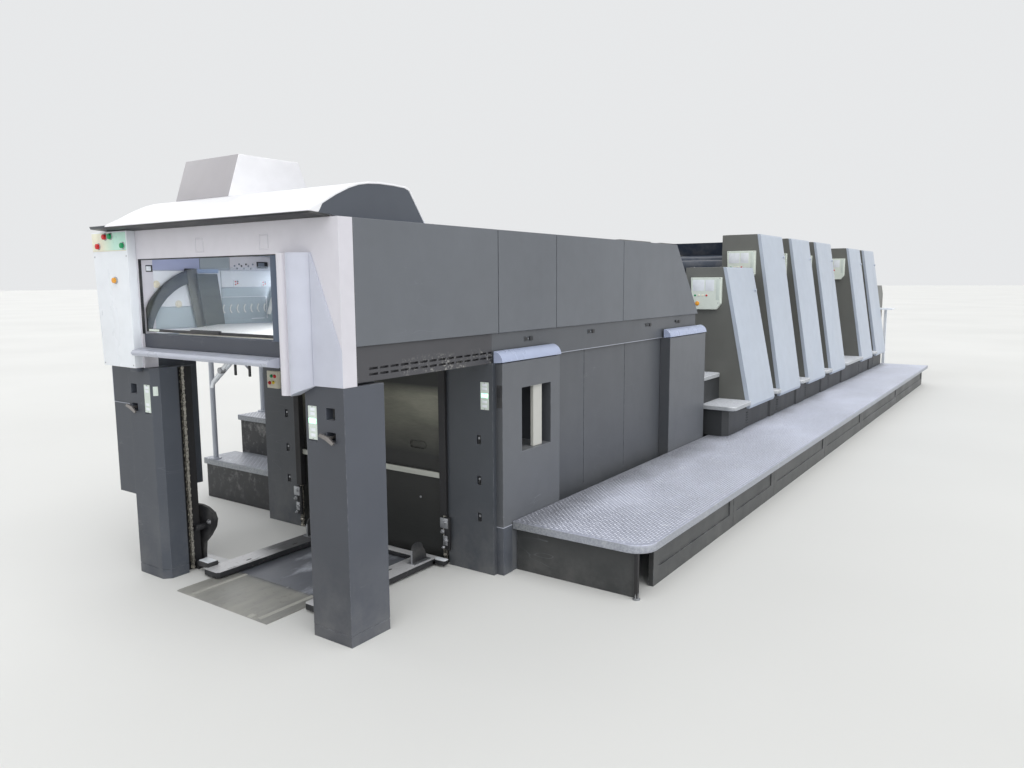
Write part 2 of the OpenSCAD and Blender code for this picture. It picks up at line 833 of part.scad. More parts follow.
module feed_board() {
  slope = 246 / 960;
  color([0.55, 0.57, 0.60]) at_press() {
    prism_xz(-feeder_side + feeder_frame_t, feeder_side - feeder_frame_t, [
      [feeder_x, 760], [feeder_x, 830], [feeder_x + 960, 830 + 960 * slope], [feeder_x + 960, 760 + 960 * slope]
    ]);
    // Conveyor tapes on the board.
    for (y = [-420, -150, 150, 420]) {
      prism_xz(y - 25, y + 25, [
        [feeder_x + 20, 829 + 20 * slope], [feeder_x + 20, 834 + 20 * slope],
        [feeder_x + 940, 834 + 940 * slope], [feeder_x + 940, 829 + 940 * slope]
      ]);
    }
  }
}

module suction_head() {
  inner = feeder_side - feeder_frame_t;
  color([0.25, 0.26, 0.27]) at_press() {
    prism_xz(-320, 320, [
      [feeder_x + 1000, 1230], [feeder_x + 1000, 1300], [feeder_x + 1040, 1330],
      [feeder_x + 1260, 1330], [feeder_x + 1260, 1200], [feeder_x + 1060, 1200]
    ]);
    block([feeder_x + 1100, -inner, 1329], [feeder_x + 1160, inner, 1380]);
    // Lifting and forwarding suckers.
    for (x = [1080, 1220], y = [-250, -90, 90, 250]) {
      translate([feeder_x + x, y, 1140]) cylinder(h = 61, d = 22);
      translate([feeder_x + x, y, 1128]) cylinder(h = 14, d1 = 46, d2 = 26);
    }
  }
}

module feeder_pile_table() {
  color([0.55, 0.50, 0.42]) at_press() {
    block([feeder_x + 970, -feeder_side + feeder_frame_t, 60], [overall_end - 330, feeder_side - feeder_frame_t, 110]);
  }
}

module feeder_side_tray() {
  color([0.92, 0.92, 0.92]) at_press() {
    block([feeder_x, -1190, 1140], [feeder_x + 280, -950, 1163]);
    block([feeder_x + 170, -1090, 0], [feeder_x + 210, -1050, 1140]);
  }
}

// Pale strips of the light barriers, one in the face of each column and rear post.
module light_barriers() {
  strips = [
    [1, -operator_side + 176], [1, operator_side - 205],
    [post_x + 1, -operator_side + 17], [post_x + 1, drive_side - post_w + 12]
  ];
  color([0.93, 0.96, 0.92]) at_press() {
    for (p = strips) block([p[0], p[1], 926], [p[0] + (p[0] > 100 ? 5 : 6), p[1] + 56, 1077]);
  }
}

// Bent release levers, each on a stem that sits in the lower recess of a front column.
module column_levers() {
  color([0.85, 0.84, 0.82]) at_press() {
    for (y = [-operator_side + 86, operator_side - 52]) translate([0, y, 0]) {
      plate_yz(-20, 9, [[62, 949], [54, 962], [0, 952], [-34, 926], [-22, 917], [24, 938]]);
      translate([-12, 4, 946]) rotate([0, 90, 0]) cylinder(h = 57, d = 14);
    }
  }
}

// Rollers of the inking and coating units between the side frames, and the ink ducts above them.
module ink_rollers() {
  coating = [[250, 300, 90], [480, 300, 104]];
  inking = [[180, 300, 62], [310, 250, 50], [430, 292, 70], [570, 232, 55]];
  color([0.30, 0.31, 0.33]) at_press() {
    for (i = [0:unit_count - 1]) {
      for (r = i == 0 ? coating : inking) {
        translate([unit_x[i] + r[0], trough_high_y, unit_h[i] - r[1]]) rotate([90, 0, 0]) {
          cylinder(h = trough_high_y - trough_low_y, r = r[2]);
        }
      }
      if (i > 0) translate([unit_x[i], 0, unit_h[i]]) prism_xz(trough_low_y, trough_high_y, [
        [594, -40], [640, -165], [706, -165], [716, -40], [694, -40], [684, -135], [660, -135], [620, -40]
      ]);
    }
  }
}

front_column_operator();
front_column_drive();
rear_post_operator();
rear_post_drive();
delivery_fascia();
corner_cowl();
window_sill();
bumper_rail();
control_box();
side_cabinet();
delivery_housing();
side_panels();
vent_band();
extraction_hood();
exhaust_box();
delivery_guard();
delivery_inner_panel();
sheet_fingers();
delivery_table();
hoist_guides();
hoist_chains();
pile_carriage();
floor_ramp();
bay_back_plate();
dryer_body();
side_pillars();
pillar_caps();
service_window();
unit_1();
unit_2();
unit_3();
unit_4();
unit_5();
unit_6();
unit_guard_1();
unit_guard_2();
unit_guard_3();
unit_guard_4();
unit_guard_5();
unit_guard_6();
unit_control_panels();
cylinder_guards();
base_skirt();
step_boxes();
step_treads();
operator_deck();
deck_skirt();
deck_legs();
drive_deck();
drive_steps();
feeder_frame();
feed_board();
suction_head();
feeder_pile_table();
feeder_side_tray();
hood_end_plate();
light_barriers();
column_levers();
side_stop();
ink_rollers();
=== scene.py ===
"""Looks of a sheetfed offset press: paints, clear guard, tread plates, fittings and light.

Places are written in machine millimetres: X runs from the delivery front to the feeder, Y from the
operator side (negative) to the drive side, and Z up from the floor.
"""

import math

import bmesh
import bpy
from mathutils import Matrix, Vector


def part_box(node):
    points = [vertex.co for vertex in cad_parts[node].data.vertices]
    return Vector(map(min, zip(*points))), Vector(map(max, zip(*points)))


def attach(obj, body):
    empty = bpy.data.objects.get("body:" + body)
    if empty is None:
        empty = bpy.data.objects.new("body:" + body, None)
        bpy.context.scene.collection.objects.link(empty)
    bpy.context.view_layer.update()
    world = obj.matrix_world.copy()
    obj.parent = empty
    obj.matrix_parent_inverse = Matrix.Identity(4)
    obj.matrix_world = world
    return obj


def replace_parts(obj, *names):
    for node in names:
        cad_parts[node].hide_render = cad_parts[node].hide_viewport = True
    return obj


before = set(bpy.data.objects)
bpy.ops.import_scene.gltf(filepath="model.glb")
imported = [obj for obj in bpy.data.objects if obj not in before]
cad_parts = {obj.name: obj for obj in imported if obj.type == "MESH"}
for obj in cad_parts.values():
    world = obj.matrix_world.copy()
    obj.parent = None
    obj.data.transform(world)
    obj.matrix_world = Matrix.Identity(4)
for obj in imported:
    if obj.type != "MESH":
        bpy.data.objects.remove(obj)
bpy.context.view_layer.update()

MM = 0.001
OPERATOR_SIDE = 846
column_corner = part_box("front_column_operator")[0]
ORIGIN = Vector((column_corner.x, column_corner.y + OPERATOR_SIDE * MM, 0))
UNIT_X = [4560, 5480, 6550, 7600, 9360, 10370]
UNIT_TOP = [1730, 2060, 2060, 2060, 2040, 2040]
UNIT_LENGTH = 740
PIVOT = (362, 1362)
FIXED = "press_frame"
GUARD = "delivery_guard"
STRIPS = [(1, -670, 1010), (1, 641, None), (1061, -829, 1004), (1061, 772, 1004)]
TOP_COVERS = [(660, 1120), (1150, 1720), (1745, 2600), (2625, 3480)]
DRYER_DOORS = [1700, 2500, 3300]
BAND_FACE = -832
DECK_TOP, DRIVE_DECK_TOP = 292, 600
STEP_LOW_TOP, STEP_HIGH_TOP = 556, 790
SHARP = math.radians(28)
SCREEN_WHITE = (255, 255, 255)
WALKWAY_WALL = -1130


def tint(red, green, blue):
    """A colour written as on a screen, in the linear numbers that a shader takes."""
    shares = [c / 255 for c in (red, green, blue)]
    return tuple(s / 12.92 if s <= 0.04045 else ((s + 0.055) / 1.055) ** 2.4 for s in shares) + (1.0,)


DUST = (176, 174, 170)
BARE = (168, 172, 180)


class Finish:
    """A material in the making: its nodes, its shader and short ways to add what a finish needs."""

    def __init__(self, name, metal=0.0):
        self.made = bpy.data.materials.new(name)
        self.made.use_nodes = True
        self.nodes = self.made.node_tree.nodes
        self.links = self.made.node_tree.links
        self.shader = self.nodes["Principled BSDF"]
        self.shader.inputs["Metallic"].default_value = metal
        self.place = self.nodes.new("ShaderNodeTexCoord").outputs["Object"]
        self.facing = self.nodes.new("ShaderNodeNewGeometry").outputs["Normal"]
        self.x, self.y, self.z = (self.part_of(self.place, axis) for axis in range(3))

    def put(self, socket, value):
        """Links a socket or sets a value; three numbers are a colour written as on a screen."""
        if isinstance(value, bpy.types.NodeSocket):
            self.links.new(value, socket)
        elif isinstance(value, tuple) and len(value) == 3:
            socket.default_value = tint(*value)
        else:
            socket.default_value = value

    def coat(self, colour, rough, height=None, strength=0.0, distance=0.0):
        """Sets colour, roughness and bump, and gives the finished material."""
        self.put(self.shader.inputs["Base Color"], colour)
        self.put(self.shader.inputs["Roughness"], rough)
        if height:
            bump = self.nodes.new("ShaderNodeBump")
            bump.inputs["Strength"].default_value = strength
            bump.inputs["Distance"].default_value = distance
            self.put(bump.inputs["Height"], height)
            self.put(self.shader.inputs["Normal"], bump.outputs[0])
        return self.made

    def math(self, operation, a, b=0.0):
        node = self.nodes.new("ShaderNodeMath")
        node.operation = operation
        self.put(node.inputs[0], a)
        self.put(node.inputs[1], b)
        return node.outputs[0]

    def times(self, *shares):
        result = shares[0]
        for share in shares[1:]:
            result = self.math("MULTIPLY", result, share)
        return result

    def plus(self, a, b):
        return self.math("ADD", a, b)

    def most(self, a, b):
        return self.math("MAXIMUM", a, b)

    def noise(self, scale, detail=2.0, stretch=None, roughness=0.5):
        node = self.nodes.new("ShaderNodeTexNoise")
        node.inputs["Scale"].default_value = scale
        node.inputs["Detail"].default_value = detail
        node.inputs["Roughness"].default_value = roughness
        self.put(node.inputs["Vector"], self.stretched(stretch) if stretch else self.place)
        return node.outputs["Fac"]

    def stretched(self, stretch):
        node = self.nodes.new("ShaderNodeMapping")
        node.inputs["Scale"].default_value = stretch
        self.put(node.inputs["Vector"], self.place)
        return node.outputs[0]

    def fade(self, value, low, high, start=0.0, end=1.0):
        node = self.nodes.new("ShaderNodeMapRange")
        for name, number in (("From Min", low), ("From Max", high), ("To Min", start), ("To Max", end)):
            node.inputs[name].default_value = number
        self.put(node.inputs["Value"], value)
        return node.outputs["Result"]

    def mix(self, share, first, second):
        node = self.nodes.new("ShaderNodeMix")
        node.data_type = "RGBA"
        self.put(node.inputs[0], share)
        self.put(node.inputs[6], first)
        self.put(node.inputs[7], second)
        return node.outputs[2]

    def part_of(self, vector, axis):
        node = self.nodes.new("ShaderNodeSeparateXYZ")
        self.put(node.inputs[0], vector)
        return node.outputs[axis]

    def brightened(self, colour, value):
        node = self.nodes.new("ShaderNodeHueSaturation")
        self.put(node.inputs["Color"], colour)
        self.put(node.inputs["Value"], value)
        return node.outputs[0]

    def edges(self, radius):
        """1 on outer and inner edges within radius metres, 0 on flat faces."""
        bevel = self.nodes.new("ShaderNodeBevel")
        bevel.samples = 3
        bevel.inputs["Radius"].default_value = radius
        dot = self.nodes.new("ShaderNodeVectorMath")
        dot.operation = "DOT_PRODUCT"
        self.put(dot.inputs[0], bevel.outputs[0])
        self.put(dot.inputs[1], self.facing)
        return self.fade(dot.outputs["Value"], 0.985, 0.88)

    def scratches(self, scale, stretch, width):
        """Thin wandering lines: the places where a smooth field crosses its middle."""
        field = self.noise(scale, 1.0, stretch)
        off_middle = self.math("ABSOLUTE", self.math("SUBTRACT", field, 0.5))
        return self.fade(off_middle, width, 0.0)


def paint(name, colour, rough=0.42, tone=0.10, dust=0.35, wear=0.3, scuffs=0.25, dirty_to=0.45,
          front=1.0):
    """Sprayed machine paint: uneven tone, grime and dust low down and on top, scuffs and rubbed edges.

    Faces that point to the delivery end get painted shade: front is their share of the tone.
    """
    f = Finish(name)
    broad = f.noise(0.8, 3.0)
    mottle = f.noise(11.0, 4.0)
    value = f.plus(f.fade(broad, 0.3, 0.7, 1 - tone, 1 + tone), f.fade(mottle, 0.3, 0.7, -0.03, 0.03))
    # Painted shade: faces that point to the delivery end are darkened to front times their tone.
    if front != 1.0:
        value = f.times(value, f.fade(f.part_of(f.facing, 0), -0.5, -0.9, 1.0, front))
    base = f.brightened(colour, value)
    smear = f.noise(2.2, 5.0, (1.0, 1.0, 0.35), 0.65)
    rubbed = f.times(f.edges(0.006), f.fade(f.noise(26.0, 4.0), 0.42, 0.66))
    base = f.mix(f.times(rubbed, wear), base, BARE)
    lines = f.times(f.scratches(2.6, (1.0, 1.0, 5.0), 0.0035), f.fade(smear, 0.52, 0.7))
    base = f.mix(f.times(lines, scuffs), base, BARE)
    top = f.fade(f.part_of(f.facing, 2), 0.55, 0.97)
    foot = f.fade(f.z, dirty_to, 0.0)
    settled = f.most(top, f.times(foot, 0.55))
    settled = f.times(settled, f.fade(f.noise(4.5, 6.0, None, 0.7), 0.38, 0.72), dust)
    gloss = f.plus(f.fade(smear, 0.3, 0.75, rough - 0.07, rough + 0.10), f.times(settled, 0.3))
    return f.coat(f.mix(settled, base, DUST), gloss, f.noise(420.0, 2.0), 0.25, 0.0006)


def bare_metal(name, colour, rough=0.34, grain=(1.0, 1.0, 26.0), grime=0.4, metal=0.85):
    """Drawn or ground steel: fine grain one way, dark grime in patches."""
    f = Finish(name, metal=metal)
    fine = f.noise(60.0, 3.0, grain)
    patches = f.noise(5.0, 5.0, None, 0.65)
    base = f.brightened(colour, f.fade(fine, 0.3, 0.7, 0.86, 1.1))
    dirty = f.times(f.fade(patches, 0.5, 0.75), grime)
    rough = f.fade(patches, 0.3, 0.75, rough - 0.06, rough + 0.22)
    return f.coat(f.mix(dirty, base, (58, 56, 52)), rough, fine, 0.12, 0.0004)


def tread_metal(name, colour, hollow, rough=0.42, side=None):
    """Tread plate: bright where feet rub it, with painted shade along the machine's wall, speckled with dirt and
    powder.
    """
    f = Finish(name, metal=0.2)
    worn = f.noise(1.3, 5.0, (1.0, 1.6, 1.0), 0.6)
    speck = f.noise(85.0, 3.0, None, 0.7)
    spots = f.noise(14.0, 6.0, None, 0.75)
    height = f.z
    base = f.brightened(colour, f.fade(worn, 0.3, 0.7, 0.92, 1.08))
    base = f.mix(f.times(f.fade(speck, 0.45, 0.62), f.fade(worn, 0.68, 0.32, 0.2, 0.75)), base, hollow)
    base = f.mix(f.times(f.fade(spots, 0.58, 0.74), 0.75), base, (232, 235, 240))
    # Painted shade: the low deck on the operator side darkens towards the machine's wall.
    wander = f.times(f.noise(2.4, 4.0), 0.32)
    across = f.plus(f.y, wander)
    wall_shade = f.fade(across, ORIGIN.y + (WALKWAY_WALL + 100) * MM, ORIGIN.y + (WALKWAY_WALL + 330) * MM)
    low_deck = f.fade(height, 0.31, 0.30)
    dark = f.times(wall_shade, low_deck, f.fade(speck, 0.3, 0.7, 0.5, 0.95))
    drive = f.fade(f.y, ORIGIN.y + 1.0, ORIGIN.y + 0.9)
    base = f.mix(f.times(dark, drive), base, (96, 97, 102))
    rim = f.fade(f.part_of(f.facing, 2), 0.5, 0.1, 0.0, 0.55)
    base = f.mix(rim, base, f.mix(f.fade(speck, 0.4, 0.6), (96, 99, 100), (168, 172, 172)))
    if side:
        step = f.times(f.fade(height, 0.252, 0.256), f.fade(height, 0.308, 0.304))
        plate = f.most(step, f.fade(height, 0.556, 0.560))
        powder = f.times(f.fade(spots, 0.5, 0.66, 0.0, 0.5), f.fade(height, 0.0, 0.26))
        base = f.mix(plate, f.mix(powder, side, (150, 150, 148)), base)
    rough = f.fade(worn, 0.3, 0.75, rough - 0.05, rough + 0.2)
    return f.coat(base, rough, f.plus(speck, spots), 0.25, 0.0008)


def rubber(name, colour, rough=0.55):
    """Matt rubber or dark plastic with a fine grain and a bloom of dust."""
    f = Finish(name)
    bloom = f.noise(7.0, 5.0, None, 0.65)
    base = f.mix(f.fade(bloom, 0.45, 0.8, 0.0, 0.22), colour, DUST)
    rough = f.fade(bloom, 0.3, 0.75, rough - 0.08, rough + 0.15)
    return f.coat(base, rough, f.noise(240.0, 3.0), 0.3, 0.0004)


def moulded(name, colour, rough=0.32, dirt=0.12):
    """Moulded plastic: even colour, slight handling marks."""
    f = Finish(name)
    marks = f.noise(18.0, 5.0, None, 0.7)
    base = f.brightened(colour, f.fade(f.noise(3.0, 2.0), 0.3, 0.7, 0.96, 1.04))
    base = f.mix(f.fade(marks, 0.5, 0.8, 0.0, dirt), base, (120, 116, 106))
    rough = f.fade(marks, 0.3, 0.75, rough - 0.05, rough + 0.12)
    return f.coat(base, rough, f.noise(320.0, 2.0), 0.08, 0.0004)


def two_tone_patch(name, left, right):
    """A printed plastic patch that runs from one pale colour to another."""
    f = Finish(name)
    marks = f.noise(18.0, 5.0, None, 0.7)
    along = f.fade(f.y, ORIGIN.y + 0.94, ORIGIN.y + 0.80)
    base = f.mix(along, left, right)
    base = f.mix(f.fade(marks, 0.5, 0.8, 0.0, 0.12), base, (150, 146, 136))
    rough = f.fade(marks, 0.3, 0.75, 0.25, 0.42)
    return f.coat(base, rough, f.noise(320.0, 2.0), 0.08, 0.0004)


def oiled_chain(name, colour):
    """Chain steel: bright rubbed plates, dark oil in the gaps and pale powder stuck to it."""
    f = Finish(name, metal=0.75)
    oil = f.noise(120.0, 4.0, None, 0.7)
    base = f.mix(f.fade(oil, 0.48, 0.62), colour, (64, 60, 54))
    base = f.mix(f.fade(f.noise(46.0, 4.0), 0.58, 0.7, 0.0, 0.7), base, (205, 202, 192))
    return f.coat(base, f.fade(oil, 0.3, 0.7, 0.22, 0.5), oil, 0.2, 0.0005)


def powder_vents(name, colour):
    """Paint round the vent slots, with pale spray powder blown over it."""
    f = Finish(name)
    specks = f.noise(70.0, 5.0, None, 0.75)
    cloud = f.noise(3.4, 4.0, (1.0, 1.0, 2.0), 0.6)
    low = f.fade(f.z, 1.275, 1.215)
    powder = f.times(f.fade(specks, 0.53, 0.62), f.fade(cloud, 0.45, 0.62), low, 0.85)
    base = f.brightened(colour, f.fade(f.noise(1.6, 4.0), 0.3, 0.7, 0.88, 1.12))
    base = f.mix(powder, base, (214, 212, 204))
    rough = f.fade(cloud, 0.3, 0.75, 0.4, 0.62)
    return f.coat(base, rough, f.plus(specks, f.noise(420.0, 2.0)), 0.2, 0.0006)


def worn_plate(name, colour, pale, dark):
    """Driven steel plate: scuffed pale and dusty in front, dark and rubbed bright further in."""
    f = Finish(name, metal=0.15)
    drag = f.noise(2.6, 6.0, (0.6, 1.8, 1.0), 0.68)
    spots = f.noise(22.0, 6.0, None, 0.75)
    base = f.mix(f.fade(drag, 0.40, 0.66, 0.0, 0.7), colour, pale)
    inner = f.fade(f.x, ORIGIN.x + 0.27, ORIGIN.x + 0.31, 0.0, 0.9)
    base = f.mix(inner, base, f.mix(f.fade(drag, 0.54, 0.68), dark, (178, 183, 194)))
    base = f.mix(f.fade(spots, 0.56, 0.72, 0.0, 0.4), base, (96, 94, 90))
    return f.coat(base, f.fade(drag, 0.3, 0.75, 0.38, 0.68), f.plus(drag, spots), 0.25, 0.001)


def carriage_steel(name, steel, worn):
    """Black lifting steel, its low level faces worn pale by pallets, except on the drive side's far half, which
    stays dark as painted shade.
    """
    f = Finish(name, metal=0.2)
    level = f.fade(f.part_of(f.facing, 2), 0.8, 0.95)
    low = f.fade(f.z, 0.075, 0.05)
    drag = f.noise(7.0, 6.0, (0.4, 2.0, 1.0), 0.7)
    spots = f.noise(46.0, 5.0, None, 0.72)
    # Painted shade: the pale wear is held back on the drive side beyond the near end, where the beam lies in
    # shadow.
    unshaded_operator_side = f.fade(f.y, ORIGIN.y + 0.3, ORIGIN.y + 0.2)
    unshaded_near_end = f.fade(f.x, ORIGIN.x + 0.62, ORIGIN.x + 0.46, 0.15, 1.0)
    rubbed = f.times(level, low, f.fade(drag, 0.30, 0.40), f.most(unshaded_operator_side, unshaded_near_end))
    black = f.brightened(steel, f.fade(drag, 0.3, 0.7, 0.8, 1.3))
    black = f.mix(f.fade(spots, 0.6, 0.74, 0.0, 0.4), black, DUST)
    bright = f.mix(f.fade(spots, 0.55, 0.7, 0.0, 0.5), worn, (120, 120, 118))
    rough = f.fade(drag, 0.3, 0.75, 0.36, 0.6)
    return f.coat(f.mix(rubbed, black, bright), rough, f.plus(drag, spots), 0.2, 0.0008)


def bay_plate(name, sheet, shine, bar):
    """The bay's back wall: near black sheet, an olive rub mark carrying painted sheen where sheets rub it, and a
    pale bar across.
    """
    f = Finish(name, metal=0.25)
    height = f.z
    clouds = f.noise(1.7, 5.0, (1.0, 1.0, 3.2), 0.6)
    hair = f.noise(34.0, 3.0, (1.0, 0.5, 14.0))
    # Wear with painted sheen: a paler olive band between 0.62 and 1.03 m up.
    rub = f.times(f.fade(height, 1.03, 0.97), f.fade(height, 0.62, 0.93), f.fade(clouds, 0.25, 0.65, 0.35, 1.0))
    base = f.brightened(f.mix(rub, sheet, shine), f.fade(hair, 0.3, 0.7, 0.88, 1.12))
    on_bar = f.times(f.fade(height, 0.4978, 0.4986), f.fade(height, 0.5322, 0.5314))
    base = f.mix(on_bar, base, f.mix(f.fade(clouds, 0.5, 0.7, 0.0, 0.3), bar, (140, 140, 134)))
    return f.coat(base, f.fade(clouds, 0.3, 0.75, 0.34, 0.52), hair, 0.12, 0.0004)


def brushed_dark(name, colour, shine):
    """Rubbed olive-grey sheet: soft long clouds of wear that carry a paler olive painted highlight higher up."""
    f = Finish(name, metal=0.55)
    clouds = f.noise(2.4, 5.0, (1.0, 1.0, 2.4), 0.62)
    hair = f.noise(40.0, 3.0, (1.0, 0.5, 30.0))
    # Painted highlight: the paler olive colour shows in the wear clouds above 0.72 m.
    high = f.fade(f.z, 0.72, 1.02)
    base = f.mix(f.times(f.fade(clouds, 0.36, 0.66), high), colour, shine)
    rough = f.fade(clouds, 0.3, 0.75, 0.34, 0.58)
    return f.coat(f.brightened(base, f.fade(hair, 0.3, 0.7, 0.85, 1.15)), rough, hair, 0.15, 0.0004)


def clear_sheet(name, colour, least, most):
    """Clear moulded sheet: seen through face on, shiny at a slant, with wiped smears."""
    f = Finish(name)
    f.shader.inputs["IOR"].default_value = 1.5
    slant = f.nodes.new("ShaderNodeLayerWeight")
    slant.inputs["Blend"].default_value = 0.2
    smears = f.noise(4.0, 5.0, (1.0, 1.0, 0.4), 0.65)
    veil = f.plus(f.fade(slant.outputs["Facing"], 0.0, 1.0, least, most), f.fade(smears, 0.5, 0.8, 0.0, 0.04))
    f.put(f.shader.inputs["Alpha"], veil)
    return f.coat(colour, f.fade(smears, 0.3, 0.75, 0.04, 0.16))


def lamp_glass(name, colour, power):
    """A small lit lens, brighter in its middle grain."""
    f = Finish(name)
    cells = f.noise(260.0, 2.0)
    f.put(f.shader.inputs["Emission Color"], f.mix(f.fade(cells, 0.35, 0.7, 0.0, 0.3), colour, SCREEN_WHITE))
    f.shader.inputs["Emission Strength"].default_value = power
    return f.coat(f.mix(f.fade(cells, 0.3, 0.7), colour, SCREEN_WHITE), 0.25)


# A front below 1 darkens the faces that point to the delivery end: painted shade.
DARK_PAINT = paint("dark_machine_paint", (76, 81, 90), front=0.74)
COLUMN_PAINT = paint("operator_column_paint", (78, 82, 91), front=0.66)
POST_PAINT = paint("post_paint", (64, 68, 74))
PANEL_PAINT = paint("upper_panel_paint", (101, 105, 111), tone=0.06, scuffs=0.12, wear=0.2)
DRYER_PAINT = paint("dryer_wall_paint", (84, 87, 92), tone=0.12)
PILLAR_PAINT = paint("pillar_paint", (96, 99, 104), tone=0.08, front=0.62)
UNIT_PAINT = paint("unit_wall_paint", (104, 105, 101), tone=0.08, scuffs=0.15)
LIGHT_PAINT = paint("fascia_paint", (214, 212, 219), rough=0.36, tone=0.03, dust=0.12, wear=0.15, scuffs=0.1)
BOX_PAINT = paint("control_box_paint", (236, 240, 245), rough=0.3, tone=0.02, dust=0.1, wear=0.12, scuffs=0.08)
HOOD_PAINT = paint("hood_paint", (240, 240, 243), rough=0.34, tone=0.02, dust=0.15, wear=0.1, scuffs=0.06)
GUARD_PAINT = paint("unit_guard_paint", (180, 189, 202), rough=0.34, tone=0.05, dust=0.1, wear=0.35, scuffs=0.15)
CAP_PAINT = paint("rounded_cap_paint", (170, 180, 206), rough=0.28, tone=0.05, dust=0.2, wear=0.4)
BLACK_PAINT = paint("black_base_paint", (50, 52, 54), rough=0.5, dust=0.5, wear=0.35, scuffs=0.35, dirty_to=0.3)
SKIRT_PAINT = paint("skirt_paint", (66, 68, 69), rough=0.46, dust=0.3, wear=0.4, scuffs=0.3, dirty_to=0.25,
                    front=0.68)
# A darker copy of the fascia paint for the cowl's slope and flare: painted shade.
COWL_SHADE_PAINT = paint("corner_cowl_shade_paint", (194, 197, 210), rough=0.36, tone=0.03, dust=0.1, wear=0.15, scuffs=0.1)
WINDOW_PAINT = paint("service_window_paint", (192, 192, 186), rough=0.4, tone=0.04, dust=0.15, wear=0.15)
RAIL_PAINT = paint("bumper_rail_paint", (176, 180, 192), rough=0.3, dust=0.25, wear=0.4)
SILL_PAINT = paint("window_sill_paint", (62, 66, 76), rough=0.36, dust=0.12)
VENT_PAINT = powder_vents("vent_band_paint", (72, 72, 76))
TREAD = tread_metal("tread_plate", (190, 194, 210), (138, 141, 152))
TREAD_LUG = tread_metal("tread_lugs", (226, 229, 238), (178, 181, 190), 0.34)
STEP_TREAD = tread_metal("step_tread", (222, 225, 229), (180, 183, 190))
STAIR_TREAD = tread_metal("stair_tread", (156, 160, 170), (112, 116, 124), 0.42, (46, 47, 49))
LEVER_STEEL = bare_metal("lever_steel", (150, 146, 144), 0.4)
STEEL = bare_metal("bare_steel", (170, 172, 176))
CHAIN = oiled_chain("oiled_chain_steel", (196, 192, 182))
BLACK_STEEL = bare_metal("black_rail_steel", (56, 56, 58), 0.45, (1.0, 1.0, 20.0), 0.6, 0.6)
WORN_PLATE = worn_plate("worn_ramp_plate", (146, 146, 142), (182, 180, 172), (96, 100, 110))
RIDGE_PLATE = bare_metal("ramp_ridge_plate", (184, 183, 176), 0.5, (1.0, 12.0, 1.0), 0.3, 0.15)
LIFT_STEEL = carriage_steel("lifting_frame_steel", (46, 47, 50), (206, 206, 208))
BACK_PLATE = bay_plate("bay_back_plate", (46, 47, 46), (142, 142, 128), (196, 198, 190))
INNER_GREY = paint("inner_panel_paint", (206, 214, 228), rough=0.4, dust=0.1, wear=0.1)
INNER_DARK = paint("inner_dark_paint", (120, 128, 142), rough=0.4, dust=0.05, wear=0.15)
TABLE_CREAM = moulded("sheet_paper", (240, 240, 236), 0.55)
# The second colour of each brushed sheet is its painted highlight.
FLAP_METAL = brushed_dark("side_flap_metal", (84, 88, 86), (112, 116, 108))
CHEEK_METAL = brushed_dark("guard_cheek_metal", (62, 66, 70), (104, 106, 96))
STRUT_METAL = brushed_dark("guard_strut_metal", (112, 112, 102), (142, 142, 130))
STRIP_BLUE, STRIP_GREY, WALL_GREY = (
    paint(name, colour, rough=0.4, tone=0.03, dust=0.05, wear=0.1)
    for name, colour in (("upper_strip_blue", (172, 178, 208)), ("upper_strip_grey", (160, 168, 174)),
                         ("inner_wall_grey", (178, 192, 198)))
)
FINGER_PLASTIC = moulded("sheet_finger_plastic", (232, 232, 226))
STRIP_PLASTIC = moulded("strip_plastic", (214, 224, 216))
PALE_PANEL = moulded("pale_control_panel", (226, 234, 224), 0.3)
PATCH = two_tone_patch("control_box_patch", (240, 238, 214), (196, 236, 220))
CREAM = moulded("cream_plastic", (232, 226, 206))
BAR_BLUE = moulded("blue_guide_bar", (168, 190, 226), 0.25)
RUBBER = rubber("dark_rubber", (38, 39, 42))
ROLLER_RUBBER = rubber("roller_rubber", (52, 60, 74), 0.4)
RED_BUTTON, GREEN_BUTTON, ORANGE_BUTTON, YELLOW_BUTTON = (
    moulded(name + "_button", colour, 0.25)
    for name, colour in (("red", (206, 30, 34)), ("green", (26, 150, 92)), ("orange", (240, 168, 58)),
                         ("yellow", (236, 206, 60)))
)
GUARD_SHEET = clear_sheet("clear_guard_sheet", (200, 214, 230), 0.02, 0.3)
LAMP_GREEN = lamp_glass("lit_green_lens", (120, 255, 190), 2.2)
WOOD = bare_metal("pile_board", (150, 130, 102), 0.6, (1.0, 18.0, 1.0), 0.3, 0.0)
RAIL_GREY = paint("handrail_paint", (168, 173, 182), rough=0.34, dust=0.1, wear=0.2)
SHEET_PAINT = paint("exhaust_sheet_paint", (176, 173, 176), rough=0.4, tone=0.04, dust=0.05)
POST_BLUE = paint("window_post_paint", (72, 84, 102), rough=0.36, dust=0.05, wear=0.1)


def place(x, y, z):
    """A point in machine millimetres as a point of the frame, in metres."""
    return ORIGIN + Vector((x, y, z)) * MM


TO_FRAME = Matrix.Translation(ORIGIN) @ Matrix.Scale(MM, 4)


def shown(name, mesh, body, matrix=None):
    """Makes a plain mesh a riding piece, with its place in its mesh."""
    if matrix:
        mesh.transform(matrix)
    for face in mesh.polygons:
        face.use_smooth = True
    mesh.set_sharp_from_angle(angle=math.radians(32))
    piece = bpy.data.objects.new(name, mesh)
    bpy.context.scene.collection.objects.link(piece)
    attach(piece, body)
    return piece


